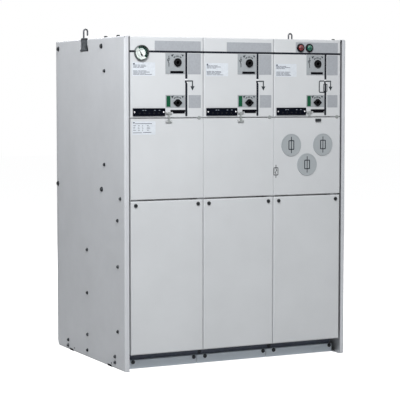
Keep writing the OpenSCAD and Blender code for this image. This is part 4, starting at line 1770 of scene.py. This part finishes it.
@dataclass
class Fasteners:
    """Bolts and screws of the side covers, the plinth, the roof and the back, and the pads at the foot."""

    bolt: HexBolt = HexBolt(15, 5.2, 10.5)
    bolts: tuple[tuple[float, float], ...] = ((715, 1303), (230, 1301), (727, 717), (232, 719))
    screw: HexBolt = HexBolt(10, 5, 7.6)
    screws: tuple[tuple[float, float], ...] = (
        (200, 1201), (203, 821), (42, 691), (394, 456), (394.7, 273.5), (394, 97), (396, 30), (69.5, 602),
        (69, 416.5), (71, 154), (101, 49), (101, 25), (615, 42), (618, 18))
    small_screw: tuple[float, float] = (3.2, 2)
    small_screws: tuple[tuple[float, float], ...] = ((139, 17), (545, 16))
    flange_screw: HexBolt = HexBolt(13, 4, 9, 1.4)
    flange_depths: tuple[float, float] = (84, 211)
    flange_inset: float = 11.5
    pad: tuple[float, float, float] = (20, 44, 9)          # width, depth and height
    pad_depths: tuple[float, float] = (162, 582)
    pad_inset: float = 11
    plinth_bolt: HexBolt = HexBolt(11, 4.6, 8.5)
    plinth_x: tuple[float, float] = (38, 312)
    plinth_z: float = 27.5
    recess_x: tuple[float, float] = (346, 675)
    recess_z: float = 44
    seal_lap: float = 3                                    # the dark sheet of painted shade in the recess goes this far behind the covers
    rear_x: tuple[float, ...] = (-470, -162.5, 162.5, 470)
    rear_z: tuple[float, ...] = (90, 460, 850, 1270)
    rear_screw: tuple[float, float] = (5, 1.7)
    roof_depths: tuple[float, ...] = (60, 382, 700)
    roof_screw: tuple[float, float] = (5, 2.6)

    def build(self, bays: Sequence[Bay]) -> None:
        """Adds all fasteners, with the hexagon heads of a side turned on from one to the next.

        Args:
            bays: The modules' fronts.
        """
        for flank in (Flank.of(Side.LEFT), Flank.of(Side.RIGHT)):
            bolts = [(self.bolt.head().turned(17 * k), *place) for k, place in enumerate(self.bolts)]
            screws = [(self.screw.head().turned(23 * k), *place) for k, place in enumerate(self.screws)]
            screws += [(screw_head(*self.small_screw), *place) for place in self.small_screws]
            add_piece(f"{flank.node}_bolts", flank.lay(bolts), Finishes.DARK_BOLT)
            add_piece(f"{flank.node}_screws", flank.lay(screws), Finishes.DARK_BOLT)
            self.add_flange_screws(flank)
            self.add_pads(flank)
        self.add_plinth_bolts(bays)
        self.add_rear_screws()

    def add_flange_screws(self, flank: Flank) -> None:
        """Adds the screws in the top flange of a side cover.

        Args:
            flank: The side cover's face.
        """
        x, top = flank.face - flank.side.hand * self.flange_inset, node_box(flank.node)[1].z
        heads = [self.flange_screw.head().on(Side.TOP, (x, flank.front + depth, top))
                 for depth in self.flange_depths]
        add_piece(f"{flank.node}_flange_screws", Surface.joined(heads), Finishes.DARK_BOLT)

    def add_pads(self, flank: Flank) -> None:
        """Adds the black pads that show in the notches of a side cover's lower edge.

        Args:
            flank: The side cover's face.
        """
        width, depth, height = self.pad
        x = flank.face - flank.side.hand * self.pad_inset
        pad = plate(round_rect(width, depth, 3), 0, height, 0.8)
        pads = [pad.on(Side.TOP, (x, flank.front + place, 0)) for place in self.pad_depths]
        add_piece(f"{flank.node}_pads", Surface.joined(pads), Finishes.DARK)

    def add_plinth_bolts(self, bays: Sequence[Bay]) -> None:
        """Adds the bolts of the plinth fronts, and a dark sheet of painted shade in the recess over them with
        its own bolts.

        Args:
            bays: The modules' fronts.
        """
        low, high = node_box("plinth_fronts")
        places = [(bay.left + x, low.y, self.plinth_z) for bay in bays for x in self.plinth_x]
        places += [(bays[0].left + x, high.y, self.recess_z) for x in self.recess_x]
        heads = [self.plinth_bolt.head().on(Side.FRONT, place) for place in places]
        add_piece("plinth_bolts", Surface.joined(heads), Finishes.DARK_BOLT)
        # painted shade: a dark sheet across the recess, from the plinth's top to behind the covers' lower
        # edge, stands for the shade there
        sill = node_box("cable_cover_1")[0].z + self.seal_lap
        painted_shade = box(low.x, 0, high.x - low.x, sill - high.z, -SINK, 1, 0.5, 0.2)
        add_piece("recess_seal", painted_shade.on(Side.FRONT, (0, high.y, sill)), Finishes.SEAL)

    def add_rear_screws(self) -> None:
        """Adds the screws round the rear cover and along the roof cover's sides."""
        rear, (roof_low, roof_high) = node_box("rear_cover")[1].y, node_box("roof_cover")
        ends_x, ends_z = self.rear_x[::3], self.rear_z[::3]
        low, high = screw_head(*self.rear_screw), screw_head(*self.roof_screw)
        heads = [low.on(Side.REAR, (x, rear, z)) for x in self.rear_x for z in self.rear_z
                 if x in ends_x or z in ends_z]
        add_piece("rear_cover_screws", Surface.joined(heads), Finishes.DARK_BOLT)
        heads = [high.on(Side.TOP, (x, roof_low.y + depth, roof_high.z)) for x in ends_x
                 for depth in self.roof_depths]
        add_piece("roof_cover_screws", Surface.joined(heads), Finishes.BOLT)


@dataclass
class LiftingHook:
    """A lifting hook in its rubber boot: a bent bar on a bracket at the tank's side."""

    side: Side
    bar: float = 3.5
    span: float = 17
    tip: float = 18
    edge: float = 4
    bracket_h: float = 31
    bracket_half: float = 15
    tank_gap: float = 10.5
    boot_inset: float = 19.5
    boot_foot: float = 6         # height of the boot's straight foot
    neck: float = 14.5
    flare_z: float = 17
    band_h: float = 9
    let_in: float = 4            # how far the bar goes into its bracket
    liner_neck: float = 10.2
    liner_flare: tuple[float, float] = (7, 22)     # heights between which the liner's edge swings out
    liner_back: tuple[Place, ...] = ((17.2, -3), (32, -3), (32, 12), (22, 34))
    liner_drop: float = 9        # the liner's upper edge below the side cover's top
    liner_levels: tuple[float, float] = (-3.3, -2.02)

    def build(self) -> None:
        """Adds the hook, its boot and the boot's clamping band."""
        name, hand = self.side.word, self.side.hand
        low, high = node_box(f"{name}_hook")
        leg = (low.x if hand < 0 else high.x) - hand * self.edge
        rod = self.rod(leg, low.z + self.bracket_h - self.let_in, high.z - self.bar)
        form = Surface.joined([rod, self.bracket(leg, low.z)])
        add_piece(f"{name}_lifting_hook", form.on(Side.FRONT, (0, (low.y + high.y) / 2, 0)), Finishes.HOOK,
                  stands_for=(f"{name}_hook",))
        self.add_boot()
        self.add_liner()

    def rod(self, leg: float, foot: float, top: float) -> Surface:
        """Bends the bar, drawn across and up.

        The bar's middle runs up the leg, round a half circle and down to the free end, whose radius
        follows a quarter circle to nothing.

        Args:
            leg: Place of the leg across the cabinet.
            foot: Height of the leg's lower end.
            top: Height of the bend's middle line.

        Returns:
            The bar.
        """
        hand, half, bar = self.side.hand, self.span / 2, self.bar
        bend, inner = top - half, leg - self.side.hand * self.span
        end = bend - self.tip
        upright = np.column_stack([np.full(24, leg), np.linspace(foot, bend, 24)])
        turn = arc(half, 180, 0, 24, (0, bend)) * (-hand, 1) + (leg - hand * half, 0)
        drop = np.column_stack([np.full(12, inner), np.linspace(bend, end, 12)])
        angle = np.linspace(0, np.pi / 2, 7)[1:]
        nose = np.column_stack([np.full(6, inner), end + bar - bar * np.sin(angle)])
        path = chain(upright, turn[1:-1], drop[:-3], nose)
        radius = np.concatenate([np.full(len(path) - 6, bar), bar * np.cos(angle * 0.98)])
        return tube(path, radius)

    def bracket(self, leg: float, foot: float) -> Surface:
        """Shapes the bracket between the leg and the tank, drawn across and up.

        Args:
            leg: Place of the leg across the cabinet.
            foot: Height of the bracket's underside.

        Returns:
            The bracket.
        """
        hand = self.side.hand
        near, far = sorted((leg + hand * self.edge, hand * (abs(leg) - self.edge - self.tank_gap)))
        return box(near, -foot - self.bracket_h, far - near, self.bracket_h, -self.bracket_half,
                   self.bracket_half, 1.5, 0.8)

    def add_boot(self) -> None:
        """Adds the boot: a flared bell, cut flat where it lies against the cabinet's side.

        The bell's radius falls from the foot to the neck along a quarter circle. Where the turned form
        would reach past the cabinet's side, its points are set back to that plane.
        """
        name, hand = self.side.word, self.side.hand
        low, high = node_box(f"{name}_boot")
        outer, wall = (low.x, high.x) if hand < 0 else (high.x, low.x)
        middle = (outer - hand * self.boot_inset, (low.y + high.y) / 2, low.z)
        foot, neck, height = self.boot_inset, self.neck, high.z - low.z
        angle = np.linspace(0, np.pi / 2, 9)
        flare = np.column_stack([foot - (foot - neck) * np.sin(angle),
                                 self.boot_foot + (self.flare_z - self.boot_foot) * (1 - np.cos(angle))])
        top = height - self.band_h
        bell = chain((0, 0), (foot - 1, 0), (foot, 1), flare, (neck, top), (neck - 0.6, top + 0.5),
                     (neck - 0.6, height - 2), (neck - 2.6, height), (0, height))
        band = chain((neck - 1, top + 1.2), (neck + 0.1, top + 1.2), (neck + 0.5, top + 2),
                     (neck + 0.5, height - 3.5), (neck, height - 2.6), (neck - 1, height - 2.6))
        for part, profile, finish, nodes in (("boot_bell", bell, Finishes.RUBBER, (f"{name}_boot",)),
                                             ("boot_band", band, Finishes.BAND, ())):
            form = lathe(profile, 64, hollow=profile is band).on(Side.TOP, middle)
            points = form.points.copy()
            points[:, 0] = hand * np.maximum(hand * points[:, 0], abs(wall))
            add_piece(f"{name}_{part}", Surface(points, form.blocks), finish,
                      stands_for=nodes)

    def add_liner(self) -> None:
        """Adds the plate behind the side cover's notch that closes it at the boot's rear.

        The plate's front edge runs down the boot's neck and out round its foot in a quarter of an ellipse.
        """
        flank = Flank.of(self.side)
        low, high = node_box(f"{self.side.word}_boot")
        neck, foot, far = self.liner_neck, self.liner_back[0][0], self.liner_back[-1][0]
        start, stop = self.liner_flare
        top = node_box(flank.node)[1].z - self.liner_drop - low.z
        angle = np.linspace(np.pi / 2, 0, 9)
        edge = np.column_stack([foot - (foot - neck) * np.sin(angle), stop - (stop - start) * np.cos(angle)])
        outline = chain((neck, top), edge, self.liner_back, (far, top))
        liner = plate(outline * (self.side.hand, 1), *self.liner_levels)
        place = (liner, (low.y + high.y) / 2 - flank.front, low.z)
        add_piece(f"{self.side.word}_boot_liner", flank.lay([place]), Finishes.SIDES)


def main() -> None:
    """Builds the studio and every sub-assembly in order."""
    logging.basicConfig(level=logging.INFO, format="%(message)s")
    bpy.context.scene.view_settings.view_transform = "Standard"
    Studio().build()
    SheetWork().build()
    bays = [Bay.of(number) for number in (1, 2, 3)]
    for assembly in (MimicDiagram, FieldFilms, ControlPlate, VoltagePanel, CoverHardware, Fasteners):
        assembly().build(bays)
    Gauge().build(bays[0])
    Buttons().build(bays[2])
    FuseChambers().build(bays[2])
    for side in (Side.LEFT, Side.RIGHT):
        LiftingHook(side).build()


if __name__ == "__main__":
    main()
